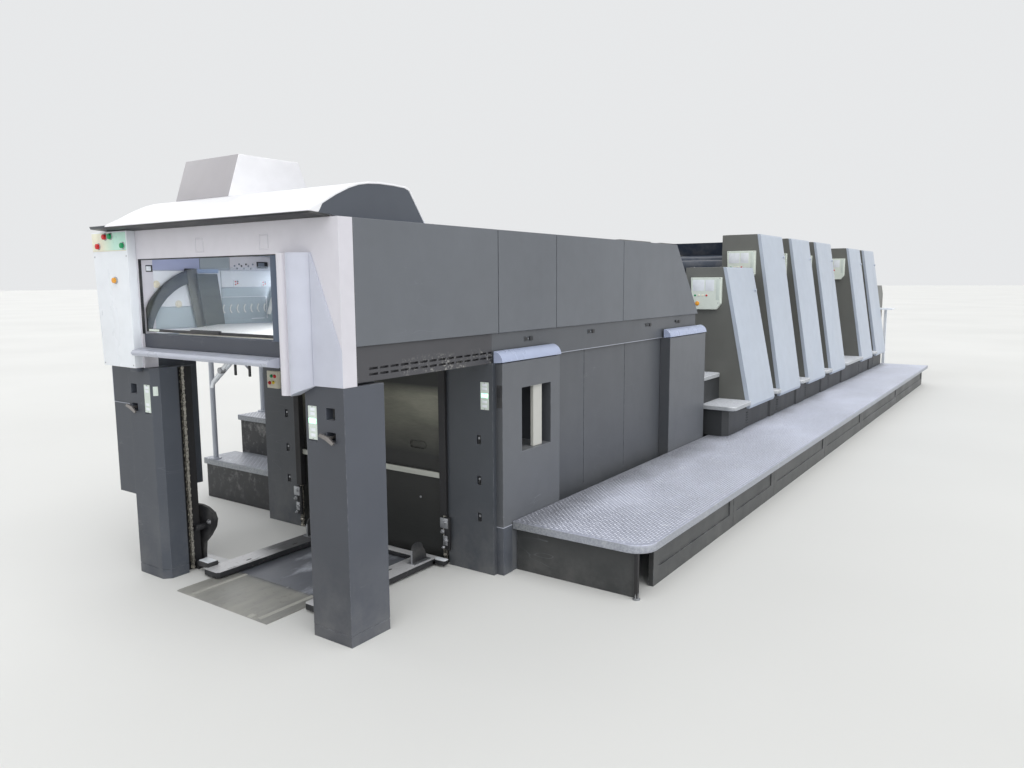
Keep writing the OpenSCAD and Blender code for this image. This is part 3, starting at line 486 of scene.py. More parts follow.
class Piece:
    """A piece that grows solid by solid in machine millimetres, each solid with its own finish."""

    def __init__(self, name):
        self.name, self.shape, self.finishes = name, bmesh.new(), []

    def close_solid(self, corners, rings, finish, ease):
        if finish not in self.finishes:
            self.finishes.append(finish)
        verts = [self.shape.verts.new(c) for c in corners]
        faces = [self.shape.faces.new([verts[i] for i in ring]) for ring in rings]
        for face in faces:
            face.material_index = self.finishes.index(finish)
        bmesh.ops.recalc_face_normals(self.shape, faces=faces)
        if ease:
            edges = {e for f in faces for e in f.edges if e.calc_face_angle(0) > SHARP}
            bmesh.ops.bevel(
                self.shape, geom=list(edges), offset=ease, segments=2, profile=0.6,
                affect="EDGES", clamp_overlap=True, material=-1,
            )

    def lofted(self, first, last, finish, ease=0.0):
        """A solid between two outlines with as many corners each."""
        count = len(first)
        rings = [list(range(count)), list(range(count, 2 * count))]
        rings += [[i, (i + 1) % count, (i + 1) % count + count, i + count] for i in range(count)]
        self.close_solid([*first, *last], rings, finish, ease)

    def prism(self, axis, low, high, outline, finish, ease=0.0):
        """A straight solid along an axis, from an outline of the two other coordinates in order."""
        ends = []
        for level in (low, high):
            ends.append([{"x": (level, a, b), "y": (a, level, b), "z": (a, b, level)}[axis] for a, b in outline])
        self.lofted(*ends, finish, ease)

    def block(self, low, high, finish, ease=1.0):
        outline = [(low[0], low[1]), (high[0], low[1]), (high[0], high[1]), (low[0], high[1])]
        self.prism("z", low[2], high[2], outline, finish, ease)

    def blocks(self, finish, ease, *boxes):
        """Blocks of one finish, each given by its low and its high corner in one row."""
        for box in boxes:
            self.block(box[:3], box[3:], finish, ease)

    def hose(self, corners, around, finish):
        """Closes a skin round corners that come in levels of around points."""
        last = len(corners) - around
        rings = []
        for a in range(0, last, around):
            b = a + around
            rings += [[a + i, a + (i + 1) % around, b + (i + 1) % around, b + i] for i in range(around)]
        rings += [list(range(around)), list(range(last, last + around))]
        self.close_solid(corners, rings, finish, 0)

    def turned(self, centre, profile, finish, around=24, axis=(-1, 0, 0)):
        """A turned solid: profile gives (distance along the axis, radius), and its ends are closed."""
        axis = Vector(axis)
        side = axis.orthogonal().normalized()
        other = axis.cross(side)
        corners = []
        for along, radius in profile:
            for i in range(around):
                turn = 2 * math.pi * i / around
                offset = side * math.cos(turn) + other * math.sin(turn)
                corners.append(Vector(centre) + axis * along + offset * radius)
        self.hose(corners, around, finish)

    def tube(self, points, radius, finish, around=12):
        """A round bar that follows points, with mitred bends."""
        points = [Vector(p) for p in points]
        corners, side = [], None
        for i, point in enumerate(points):
            before = (point - points[i - 1]).normalized() if i else (points[1] - point).normalized()
            after = (points[i + 1] - point).normalized() if i + 1 < len(points) else before
            along = (before + after).normalized()
            side = side - along * side.dot(along) if side else along.orthogonal()
            side.normalize()
            other = along.cross(side)
            stretch = 1 / max(0.5, along.dot(before))
            bend = (after - before)
            bend = bend.normalized() if bend.length > 1e-4 else None
            for k in range(around):
                turn = 2 * math.pi * k / around
                offset = (side * math.cos(turn) + other * math.sin(turn)) * radius
                if bend:
                    offset += bend * offset.dot(bend) * (stretch - 1)
                corners.append(point + offset)
        self.hose(corners, around, finish)

    def done(self, slot, body=FIXED):
        """Places the finished piece in the frame, riding on its body."""
        mesh = bpy.data.meshes.new(self.name)
        self.shape.to_mesh(mesh)
        self.shape.free()
        for finish in self.finishes:
            mesh.materials.append(finish)
        return shown(self.name, mesh, body, TO_FRAME)


class Recipe:
    """A Geometry Nodes tree in the making, with named inputs."""

    def __init__(self, name, inputs):
        self.tree = bpy.data.node_groups.new(name, "GeometryNodeTree")
        self.sockets = {}
        for label, kind, value in inputs:
            socket = self.tree.interface.new_socket(label, in_out="INPUT", socket_type="NodeSocket" + kind)
            if value is not None:
                socket.default_value = value
            self.sockets[label] = socket.identifier
        self.tree.interface.new_socket("Geometry", in_out="OUTPUT", socket_type="NodeSocketGeometry")
        self.inputs = self.tree.nodes.new("NodeGroupInput").outputs
        self.end = self.tree.nodes.new("NodeGroupOutput").inputs[0]

    def add(self, kind, sockets=None, output=0, **settings):
        node = self.tree.nodes.new(kind)
        for name, value in settings.items():
            setattr(node, name, value)
        for name, value in (sockets or {}).items():
            if isinstance(value, bpy.types.NodeSocket):
                self.tree.links.new(value, node.inputs[name])
            else:
                node.inputs[name].default_value = value
        return node.outputs[output]

    def math(self, operation, a, b=0.0):
        return self.add("ShaderNodeMath", {0: a, 1: b}, operation=operation)

    def finish(self, geometry):
        real = self.add("GeometryNodeRealizeInstances", {"Geometry": geometry})
        coated = self.add("GeometryNodeSetMaterial", {"Geometry": real, "Material": self.inputs["Finish"]})
        self.tree.links.new(coated, self.end)

    def run(self, name, values, start=None):
        """Runs the tree with these values and gives its result as a plain mesh."""
        holder = bpy.data.objects.new(name + "_maker", start or bpy.data.meshes.new(name + "_start"))
        bpy.context.scene.collection.objects.link(holder)
        change = holder.modifiers.new("maker", "NODES")
        change.node_group = self.tree
        for label, value in values.items():
            change[self.sockets[label]] = value
        holder.update_tag()
        bpy.context.view_layer.update()
        result = bpy.data.meshes.new_from_object(holder.evaluated_get(bpy.context.evaluated_depsgraph_get()))
        holder.modifiers.clear()
        bpy.data.objects.remove(holder)
        return result


def tread_recipe():
    """A field of raised lugs in rows, each turned a quarter from its neighbours, with one rounded corner."""
    r = Recipe("tread_lug_field", [
        ("Run", "Float", 1.0), ("Width", "Float", 1.0), ("Pitch", "Float", 0.02),
        ("Lug Length", "Float", 0.018), ("Lug Width", "Float", 0.007), ("Lug Height", "Float", 0.0018),
        ("Corner", "Float", 0.0), ("Finish", "Material", None),
    ])
    run, width, pitch = r.inputs["Run"], r.inputs["Width"], r.inputs["Pitch"]
    along = r.math("ADD", r.math("FLOOR", r.math("DIVIDE", run, pitch)), 1.0)
    across = r.math("ADD", r.math("FLOOR", r.math("DIVIDE", width, pitch)), 1.0)
    grid = r.add("GeometryNodeMeshGrid", {
        "Size X": run, "Size Y": width, "Vertices X": along, "Vertices Y": across,
    })
    where = r.add("GeometryNodeInputPosition")
    split = r.add("ShaderNodeSeparateXYZ", {0: where}).node
    x = r.math("ADD", split.outputs[0], r.math("MULTIPLY", run, 0.5))
    y = r.math("ADD", split.outputs[1], r.math("MULTIPLY", width, 0.5))
    corner = r.inputs["Corner"]
    short_x = r.math("MINIMUM", r.math("SUBTRACT", x, corner), 0.0)
    short_y = r.math("MINIMUM", r.math("SUBTRACT", y, corner), 0.0)
    reach = r.math("SQRT", r.math("ADD", r.math("POWER", short_x, 2.0), r.math("POWER", short_y, 2.0)))
    outside = r.math("GREATER_THAN", reach, r.math("SUBTRACT", corner, -0.0001))
    kept = r.add("GeometryNodeDeleteGeometry", {"Geometry": grid, "Selection": outside}, domain="POINT")
    step_x = r.math("ROUND", r.math("DIVIDE", x, pitch))
    step_y = r.math("ROUND", r.math("DIVIDE", y, pitch))
    odd = r.math("MODULO", r.math("ADD", step_x, step_y), 2.0)
    turn = r.math("ADD", r.math("MULTIPLY", odd, math.pi / 2), math.pi / 4)
    turned = r.add("ShaderNodeCombineXYZ", {2: turn})
    lug = r.add("GeometryNodeMeshCone", {
        "Vertices": 4, "Radius Top": 0.3, "Radius Bottom": 1.0, "Depth": 1.0,
    }, fill_type="NGON")
    half_long = r.math("MULTIPLY", r.inputs["Lug Length"], 0.5)
    half_wide = r.math("MULTIPLY", r.inputs["Lug Width"], 0.5)
    size = r.add("ShaderNodeCombineXYZ", {0: half_long, 1: half_wide, 2: r.inputs["Lug Height"]})
    lugs = r.add("GeometryNodeInstanceOnPoints", {
        "Points": kept, "Instance": lug, "Rotation": turned, "Scale": size,
    })
    r.finish(lugs)
    return r


def fastener_recipe():
    """A washer and a domed head on each point, facing the way the point's own vector says."""
    r = Recipe("fastener_heads", [
        ("Geometry", "Geometry", None), ("Head Radius", "Float", 0.006), ("Head Height", "Float", 0.003),
        ("Washer Radius", "Float", 0.009), ("Finish", "Material", None),
    ])
    height = r.inputs["Head Height"]
    head = r.add("GeometryNodeMeshCone", {
        "Vertices": 12, "Radius Top": r.math("MULTIPLY", r.inputs["Head Radius"], 0.72),
        "Radius Bottom": r.inputs["Head Radius"], "Depth": height,
    }, fill_type="NGON")
    washer = r.add("GeometryNodeMeshCylinder", {
        "Vertices": 16, "Radius": r.inputs["Washer Radius"], "Depth": r.math("MULTIPLY", height, 0.5),
    }, fill_type="NGON")
    both = r.tree.nodes.new("GeometryNodeJoinGeometry")
    r.tree.links.new(head, both.inputs[0])
    r.tree.links.new(washer, both.inputs[0])
    facing = r.add("GeometryNodeInputNamedAttribute", {"Name": "facing"}, data_type="FLOAT_VECTOR")
    turned = r.add("FunctionNodeAlignRotationToVector", {"Vector": facing}, axis="Z")
    heads = r.add("GeometryNodeInstanceOnPoints", {
        "Points": r.inputs["Geometry"], "Instance": both.outputs[0], "Rotation": turned,
    })
    r.finish(heads)
    return r


def louvre_recipe():
    """A row of rounded louvres, each a flattened half-buried bar."""
    r = Recipe("louvre_row", [
        ("Count", "Int", 8), ("Step", "Float", 0.03), ("Length", "Float", 0.3),
        ("Depth", "Float", 0.008), ("Rise", "Float", 0.01), ("Finish", "Material", None),
    ])
    step = r.add("ShaderNodeCombineXYZ", {2: r.inputs["Step"]})
    line = r.add("GeometryNodeMeshLine", {"Count": r.inputs["Count"], "Offset": step}, mode="OFFSET")
    bar = r.add("GeometryNodeMeshCylinder", {
        "Vertices": 14, "Radius": 1.0, "Depth": r.inputs["Length"],
    }, fill_type="NGON")
    laid = r.add("GeometryNodeTransform", {"Geometry": bar, "Rotation": (0.0, math.pi / 2, 0.0)})
    size = r.add("ShaderNodeCombineXYZ", {0: 1.0, 1: r.inputs["Depth"], 2: r.inputs["Rise"]})
    bars = r.add("GeometryNodeInstanceOnPoints", {"Points": line, "Instance": laid, "Scale": size})
    r.finish(bars)
    return r


TREADS = tread_recipe()
FASTENERS = fastener_recipe()
LOUVRES = louvre_recipe()


def tread_field(name, low, high, height, corner=0.0, pitch=21.0):
    """Raised lugs over a rectangle of a walkway, low and high being its near and far corners."""
    run, width = (high[0] - low[0]) * MM, (high[1] - low[1]) * MM
    mesh = TREADS.run(name, {
        "Run": run, "Width": width, "Pitch": pitch * MM, "Lug Length": pitch * 0.92 * MM,
        "Lug Width": pitch * 0.36 * MM, "Lug Height": 0.002, "Corner": corner * MM, "Finish": TREAD_LUG,
    })
    centre = place((low[0] + high[0]) / 2, (low[1] + high[1]) / 2, height - 0.1)
    shown(name, mesh, FIXED, Matrix.Translation(centre))


def fasteners(name, rows):
    """Screw heads at (point, facing) rows."""
    start = bpy.data.meshes.new(name + "_points")
    start.from_pydata([place(*point) for point, facing in rows], [], [])
    ways = start.attributes.new("facing", "FLOAT_VECTOR", "POINT")
    for row, (point, facing) in zip(ways.data, rows):
        row.vector = facing
    mesh = FASTENERS.run(name, {
        "Head Radius": 0.006, "Head Height": 0.003, "Washer Radius": 0.0087, "Finish": STEEL,
    }, start)
    shown(name, mesh, FIXED)


FINISH_OF = {
    "front_column_operator": (COLUMN_PAINT, 4), "front_column_drive": (DARK_PAINT, 4),
    "rear_post_operator": (POST_PAINT, 2), "rear_post_drive": (POST_PAINT, 2),
    "delivery_fascia": (LIGHT_PAINT, 3), "corner_cowl": (LIGHT_PAINT, 2), "window_sill": (SILL_PAINT, 2),
    "bumper_rail": (RAIL_PAINT, 2), "control_box": (BOX_PAINT, 3), "side_cabinet": (DARK_PAINT, 3),
    "delivery_housing": (INNER_GREY, 2), "side_panels": (PANEL_PAINT, 3), "vent_band": (VENT_PAINT, 1),
    "extraction_hood": (HOOD_PAINT, 5), "exhaust_box": (HOOD_PAINT, 5), "hood_end_plate": (DARK_PAINT, 1),
    "delivery_inner_panel": (INNER_GREY, 2), "sheet_fingers": (FINGER_PLASTIC, 2),
    "delivery_table": (TABLE_CREAM, 1), "side_stop": (FLAP_METAL, 1), "hoist_guides": (BLACK_STEEL, 2),
    "hoist_chains": (CHAIN, 0), "pile_carriage": (LIFT_STEEL, 2), "floor_ramp": (WORN_PLATE, 1.5),
    "bay_back_plate": (BACK_PLATE, 2), "dryer_body": (DRYER_PAINT, 2), "side_pillars": (PILLAR_PAINT, 4),
    "pillar_caps": (CAP_PAINT, 2), "service_window": (WINDOW_PAINT, 3), "unit_control_panels": (PALE_PANEL, 4),
    "cylinder_guards": (BLACK_PAINT, 3), "base_skirt": (BLACK_PAINT, 2), "step_boxes": (BLACK_PAINT, 3),
    "step_treads": (STEP_TREAD, 5), "operator_deck": (TREAD, 5), "deck_skirt": (SKIRT_PAINT, 2),
    "deck_legs": (BLACK_STEEL, 2), "drive_deck": (STAIR_TREAD, 4), "drive_steps": (STAIR_TREAD, 4),
    "feeder_frame": (UNIT_PAINT, 4), "feed_board": (STEEL, 2), "suction_head": (DARK_PAINT, 2),
    "feeder_pile_table": (WOOD, 3), "feeder_side_tray": (BOX_PAINT, 3), "light_barriers": (STRIP_PLASTIC, 1),
    "column_levers": (LEVER_STEEL, 1), "ink_rollers": (ROLLER_RUBBER, 0),
}
for number in range(1, 7):
    FINISH_OF[f"unit_{number}"] = (UNIT_PAINT, 4)
    FINISH_OF[f"unit_guard_{number}"] = (GUARD_PAINT, 4)


def dress_solids():
    """Gives each carried-over solid its finish, and eases its sharp edges."""
    for name, (finish, ease) in FINISH_OF.items():
        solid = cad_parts[name]
        for slot in solid.material_slots:
            slot.material = finish
        if ease:
            solid.modifiers.new("joined", "WELD").merge_threshold = 0.00002
            flat = solid.modifiers.new("flat", "DECIMATE")
            flat.decimate_type, flat.angle_limit = "DISSOLVE", math.radians(0.4)
            edge = solid.modifiers.new("eased", "BEVEL")
            edge.width, edge.segments = ease * MM, 2
            edge.limit_method, edge.angle_limit = "ANGLE", SHARP
            edge.harden_normals = edge.use_clamp_overlap = True


def arc(radius, start, end, steps, centre=PIVOT, rise=None):
    """Points of an arc round a centre, the guard's pivot if none is given; rise is a second radius."""
    turns = [math.radians(start + (end - start) * i / steps) for i in range(steps + 1)]
    return [(centre[0] + radius * math.cos(t), centre[1] + (rise or radius) * math.sin(t)) for t in turns]


def make_guard():
    """The curved clear guard with its dark sector cheeks, its edge bar and its pull box."""
    glass = Piece("guard_glass")
    glass.prism("y", -420, 654, arc(340, 177.6, 84.5, 44) + arc(334, 84.5, 177.6, 44), GUARD_SHEET)
    glass = glass.done("clear_guard", GUARD)
    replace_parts(glass, "delivery_guard")
    cheeks = Piece("guard_cheeks")
    outer = [(24, 1364), (24, 1484), (40, 1520), (62, 1548), (104, 1590), (150, 1626), (200, 1657), (246, 1678),
             (303, 1693), (330, 1697)]
    inner = [(276, 1612), (250, 1606), (222, 1594), (184, 1570), (145, 1539), (112, 1503), (86, 1466), (64, 1420),
             (46, 1364)]
    strut = [(276, 1612), (268, 1690), (330, 1697), (372, 1352), (322, 1352)]
    for low in (-432, 654):
        high = low + 14
        cheeks.prism("y", low, high, outer + [(338, 1612)] + inner, CHEEK_METAL, 1.5)
        cheeks.prism("y", low - 2, high + 0.6, strut, STRUT_METAL, 1.5)
        cheeks.prism("y", low - 3, high + 1, [(326, 1690), (332, 1690), (374, 1356), (368, 1356)], STEEL, 0.8)
        cheeks.prism("y", low - 1, high + 1, arc(26, 0, 348.75, 31), CHEEK_METAL, 1.0)
    for y in (-434, 668):
        cheeks.turned((PIVOT[0], y, PIVOT[1]), [(0, 17), (2, 19), (4, 17)], STEEL, axis=(0, 1, 0))
    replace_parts(cheeks.done("black_paint", GUARD), "delivery_guard")
    bar = Piece("guard_edge_bar")
    bar.prism("y", -418, 654, [(20, 1364), (30, 1364), (30, 1378), (22, 1378)], RUBBER, 1.0)
    bar.prism("y", 30, 268, [(15, 1366), (34, 1366), (34, 1384), (18, 1384)], RUBBER, 3.0)
    bar.prism("y", 547, 642, [(19.6, 1366), (22, 1366), (22, 1377), (20.4, 1377)], PALE_PANEL, 0.4)
    bar.done("black_paint", GUARD)


def make_window_inside():
    """Fittings behind the clear guard, most of them on the side wall, and the clear shield."""
    face = (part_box("delivery_inner_panel")[1].x - ORIGIN.x) / MM - 25
    wall = 686
    inside = Piece("inner_panel_fittings")
    inside.block((face - 6, -440, 1690), (face, wall, 1772), STRIP_GREY, 1.5)
    inside.block((face - 3, -440, 1587), (face, wall, 1593), INNER_DARK, 0.8)
    inside.block((face - 4, -440, 1380), (face, wall, 1540), WALL_GREY, 1.5)
    for y in (80, 400, -160):
        inside.block((face - 4, y - 24, 1606), (face, y + 24, 1654), BOX_PAINT, 1.5)
        inside.turned((face - 4, y - 8, 1626), [(0, 7), (4, 7), (6, 5)], RED_BUTTON, 16)
        inside.turned((face - 4, y + 12, 1626), [(0, 5), (3, 5), (4, 3)], CREAM, 16)
    side = wall - 6
    inside.block((38, wall - 8, 1688), (366, wall, 1774), STRIP_BLUE, 1.5)
    inside.block((369, wall - 8, 1690), (562, wall, 1774), STRIP_GREY, 1.5)
    inside.block((565, wall - 8, 1691), (face - 6, wall, 1774), LIGHT_PAINT, 1.5)
    inside.blocks(BOX_PAINT, 1.5, (46, side, 1490, 500, wall, 1685), (46, side, 1345, 500, wall, 1368),
                  (503, side, 1593, face, wall, 1688))
    inside.blocks(WALL_GREY, 1.5, (46, side, 1372, 500, wall, 1487), (503, side, 1380, face, wall, 1589))
    inside.block((42, wall - 13, 1678), (80, side, 1714), RUBBER, 1.5)
    inside.block((44, wall - 13.6, 1684), (71, wall - 10, 1708), BOX_PAINT, 0.8)
    inside.block((752, wall - 12, 1702), (832, side, 1742), RUBBER, 2)
    inside.block((760, wall - 12.8, 1712), (806, wall - 9, 1736), INNER_DARK, 0.8)
    for i in range(9):
        x, z = 596 + i * 16, (1716, 1701, 1726)[i % 3]
        finish = RUBBER if i % 2 else INNER_DARK
        inside.turned((x, side, z), [(0, 5.5), (4, 5.5), (6, 3.5)], finish, 14, axis=(0, -1, 0))
    for x, z in ((584, 1616), (780, 1612)):
        inside.block((x, wall - 12, z - 18), (x + 36, wall - 5, z + 18), BOX_PAINT, 1.2)
        marks = ((10, 8, RED_BUTTON), (10, -8, RED_BUTTON), (24, 9, RUBBER), (24, -2, RED_BUTTON))
        for dx, dz, finish in marks:
            inside.turned((x + dx, wall - 12, z + dz), [(0, 4.6), (3, 4.6), (4.4, 3)], finish, 14, axis=(0, -1, 0))
    for x, z in ((100, 1612), (224, 1503)):
        inside.turned((x, side, z), [(0, 20), (3, 20), (4, 13), (6.5, 12), (7, 9)], CREAM, axis=(0, -1, 0))
    inside.block((333, 673, 1673), (483, 683, 1695), BAR_BLUE, 3)
    inside.block((270, 673, 1679), (333, 683, 1698), RUBBER, 3)
    inside.done("light_paint")
    shield = Piece("finger_shield")
    shield.block((503, 675, 1404), (810, 677, 1535), GUARD_SHEET, 0.4)
    shield.done("clear_guard")
    rims = Piece("finger_shield_rims")
    rims.blocks(BOX_PAINT, 1, (360, 674, 1533, 814, 679, 1537), (808, 674, 1402, 814, 679, 1533),
                (695, 674, 1401, 790, 679, 1406))
    finger = [(12, 1492), (4, 1480), (0, 1466), (3, 1452), (12, 1440), (19, 1443), (10, 1454), (7, 1466),
              (11, 1479), (18, 1490)]
    for x in range(450, 787, 48):
        rims.prism("y", 673, 679, [(x + dx, z) for dx, z in finger], FINGER_PLASTIC, 0.6)
    rims.done("white_paint")
    sheets = Piece("delivered_sheets")
    pile = [(177, 1342.4), (176, 1362), (420, 1384), (640, 1381), (870, 1372), (870, 1342.4)]
    sheets.prism("y", -393, 612, pile, TABLE_CREAM, 0.6)
    for i in range(7):
        z = 1344.6 + i * 2.5
        sheets.block((175.2 - (i % 3) * 0.5, -393.6, z), (177.4, 612.6, z + 1.0), CREAM)
    sheets.done("white_paint")


def make_front_fittings():
    """Fittings on the delivery front: gasket, hood lip liner with painted shade, light strips, column windows and
    pale lines.
    """
    front = Piece("window_gasket")
    front.blocks(RUBBER, 1, (2, -440, 1738, 16, 674, 1744), (2, 668, 1352, 16, 674, 1744))
    front.block((2, -440, 1352), (14, -397, 1744), POST_BLUE, 1.5)
    front.done("black_paint")
    liner = Piece("hood_lip_liner_and_shade")
    # A dark strip under the hood lip: partly dark trim, partly painted shade where the lip's underside lies in
    # shadow.
    liner.prism("y", -798, 768, [(-112, 1906.6), (-1, 1899.4), (-1, 1891), (-104, 1900)], RUBBER, 1)
    liner.prism("y", 768, 934, [(-106, 1916), (-1, 1909), (-1, 1893), (-100, 1902)], POST_PAINT, 1)
    liner.done("black_paint")
    strips = Piece("light_strip_fittings")
    for x, y, lit in STRIPS:
        if lit:
            strips.block((x - 2.2, y + 6, lit - 11), (x + 1, y + 50, lit + 11), LAMP_GREEN, 1)
        for z in (946, 970, 1042, 1062):
            strips.block((x - 0.8, y + 12, z - 7), (x + 0.6, y + 44, z + 7), BOX_PAINT, 0.4)
        for z in (930, 1073):
            strips.turned((x + 0.4, y + 28, z), [(0, 3), (1.2, 3), (1.6, 2)], STEEL, 12)
    strips.done("pale_plastic")
    eyes = Piece("column_windows")
    for y in (-OPERATOR_SIDE + 60, OPERATOR_SIDE - 77):
        eyes.block((36, y, 1026), (44, y + 50, 1072), RUBBER, 1)
        eyes.turned((38, y + 25, 1049), [(0, 12), (6, 12), (8, 9)], BLACK_STEEL, 20)
    label = [(8, 622), (26, 604), (24.9, 602.9), (6.9, 620.9)]
    eyes.prism("z", 1020, 1070, label, STRIP_PLASTIC, 0.3)
    eyes.block((1088.6, -896, 938), (1091, -861, 1062), RUBBER, 1)
    eyes.blocks(RAIL_PAINT, 0.4, (38.6, OPERATOR_SIDE, 948.5, 41, 1078, 951.5),
                (38.6, 1074.5, 951, 41, 1078, 1150))
    eyes.done("black_paint")


def make_cowl():
    """The corner cowl beside the window: two ribs with a groove, then a slope back and a slanted flare in a darker
    paint that is painted shade.
    """
    top, foot, raised = 1746, 1120, 1168
    split, end = -571, -676
    cowl = Piece("ribbed_corner_cowl")
    ribs = [(0, -448), (-30, -487), (-46, -502), (-54, -509), (-59, -518), (-60, -530), (-57, -541), (-50, -548),
            (-41, -551), (-41, -566), (-52, split), (0, split)]
    cowl.prism("z", foot, top, ribs, LIGHT_PAINT, 1.2)
    slope = [(0, split), (-52, split), (-61, -576), (-67, -586), (-69, -598), (-66, -612), (-57, -628),
             (-40, -646), (0, end)]
    slanted = [(x, y, foot + (raised - foot) * (split - y) / (split - end)) for x, y in slope]
    # The slope and the flare take the darker cowl paint: painted shade.
    cowl.lofted(slanted, [(x, y, top) for x, y in slope], COWL_SHADE_PAINT, 1.2)
    flare = [(-12, end + 2, top - 3), (-12, end + 2, raised + 1), (-2, -845, raised + 1), (-2, -845, 1326)]
    cowl.lofted(flare, [(0, y, z) for x, y, z in flare], COWL_SHADE_PAINT, 0.8)
    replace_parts(cowl.done("light_paint"), "corner_cowl")


def make_control_box():
    """The white control box on the fascia's drive side, with its patch, push buttons and lower button."""
    box = Piece("control_box_shell")
    right = 684
    box.prism("x", -46, 0, [(right, 1170), (994, 1172), (1032, 1891), (right, 1891)], BOX_PAINT, 3)
    box.prism("x", 0, 82, [(700, 1170), (994, 1172), (1032, 1891), (773, 1891), (769, 1602)], BOX_PAINT, 2)
    box.block((-40, right - 6, 1150), (-10, right + 60, 1170), DARK_PAINT, 2)
    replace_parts(box.done("white_paint"), "control_box")
    patch = Piece("control_box_fittings")
    outline = [(right + 10, 1792), (1022, 1792), (1027, 1884), (right + 10, 1884)]
    patch.prism("x", -48.5, -45.5, outline, PATCH, 1.2)
    patch.block((-48.9, right + 10, 1788), (-45.5, 1023, 1792), CREAM, 0.8)
    caps = {(887, 1864): RED_BUTTON, (834, 1865): GREEN_BUTTON, (960, 1815): RED_BUTTON,
            (717, 1814): GREEN_BUTTON, (815, 1634): ORANGE_BUTTON}
    for (y, z), finish in caps.items():
        patch.turned((-45.6, y, z), [(0, 19), (4, 19), (6, 16.5), (6.5, 15)], STEEL, 28)
        patch.turned((-50, y, z), [(0, 14.4), (10, 14.4), (13.6, 13.4), (15.2, 10), (15.6, 5)], finish, 28)
    for y, z in ((right + 14, 1184), (980, 1186), (right + 14, 1760), (1012, 1760)):
        patch.turned((-45.6, y, z), [(0, 4), (1.2, 4), (2, 2.6)], STEEL, 12)
    patch.done("cream_plastic")


def make_bay_fittings():
    """What shows in the pile bay: latches, chain bearings, the button box, a bent arm and hangers."""
    latches = Piece("post_latches")
    for y_low in (-856, 745):
        for z in (292, 502, 732):
            latches.block((1068, y_low + 86, z + 3), (1074, y_low + 110, z + 47), RUBBER, 0.8)
            latches.turned((1068, y_low + 98, z + 32), [(0, 7), (4, 7), (5, 5)], STEEL, 16)
            latches.block((1062, y_low + 92, z + 8), (1068, y_low + 104, z + 22), BLACK_STEEL, 1)
    for x, length in ((1397, 90), (2131, 90), (3003, 88), (3558, 74)):
        latches.block((x, BAND_FACE - 1.6, 1277), (x + length, BAND_FACE + 0.5, 1305), POST_PAINT, 1.2)
        latches.block((x + 4, BAND_FACE - 2.4, 1282), (x + 34, BAND_FACE, 1300), RUBBER, 0.6)
        latches.block((x + length - 36, BAND_FACE - 9, 1280), (x + length - 4, BAND_FACE, 1303), RUBBER, 3)
        latches.turned((x + 44, BAND_FACE, 1291), [(0, 4), (2, 4), (2.6, 2.5)], STEEL, 12, axis=(0, -1, 0))
    latches.done("black_paint")
    trim = Piece("band_and_foot_trim")
    trim.block((1682, BAND_FACE - 1.4, 1180.5), (3304, BAND_FACE + 0.5, 1184), RAIL_PAINT, 0.5)
    trim.block((1087.8, -902.2, 1), (1171.5, -846, 270), DARK_PAINT, 1.2)
    trim.block((1087.2, -902.8, 270), (1171.5, -846, 273.2), RAIL_PAINT, 0.8)
    trim.done("dark_paint")
    plate = Piece("back_plate_fittings")
    ring = arc(22, 90, 270, 12, (-338, 674)) + arc(22, 270, 450, 12, (-256, 674))
    plate.tube([(1077.5, y, z) for y, z in ring + ring[:1]], 2.6, BACK_PLATE, 8)
    plate.turned((1082, -308, 360), [(0, 7), (1.6, 7), (3, 4)], STEEL, 16)
    for y in (-520, 725):
        for z in (60, 440, 580, 1120):
            plate.turned((1082 if z < 498 else 1078, y, z), [(0, 5), (1.6, 5), (2.4, 3)], BLACK_STEEL, 12)
    for y in (-526, 735):
        plate.block((1036, y - 34, 92), (1050, y + 6, 284), BLACK_STEEL, 3)
        plate.blocks(STEEL, 3, (1030, y - 26, 220, 1037, y + 30, 280), (1030, y - 22, 120, 1037, y + 10, 176))
        for dy, dz, size in ((-8, 258, 15), (12, 200, 12), (-12, 150, 14), (6, 108, 9)):
            profile = [(0, size), (8, size), (11, size * 0.7), (20, size * 0.5)]
            plate.turned((1036, y + dy, dz), profile, STEEL, 20)
    plate.done("bare_steel")
    box = Piece("bay_button_box")
    box.block((880, 690, 952), (905, 796, 1062), CREAM, 4)
    box.block((900, 785, 985), (1060, 797, 1025), BLACK_STEEL, 2)
    caps = ((716, 1030, RED_BUTTON), (748, 1030, GREEN_BUTTON), (732, 990, YELLOW_BUTTON), (768, 986, RED_BUTTON))
    for y, z, finish in caps:
        box.turned((880, y, z), [(0, 11), (5, 11), (9, 9), (10, 5)], finish, 20)
    box.done("cream_plastic")
    arm = Piece("sheet_sample_arm")
    bent = [(80, 1262), (97, 1236), (172, 1174), (249, 1110), (262, 1080)]
    arm.tube([(120, y, z) for y, z in bent], 9, BOX_PAINT)
    arm.block((106, 60, 1252), (134, 110, 1290), BLACK_STEEL, 2)
    arm.turned((120, 172, 1174), [(-14, 16), (14, 16)], STEEL, 20, axis=(1, 0, 0))
    for y in (47, -66):
        arm.block((112, y, 1157), (122, y + 11, 1290), RUBBER, 2)
    arm.tube([(120, 20, 1262), (120, -20, 1216), (120, -50, 1196)], 5, STEEL)
    arm.done("white_paint")


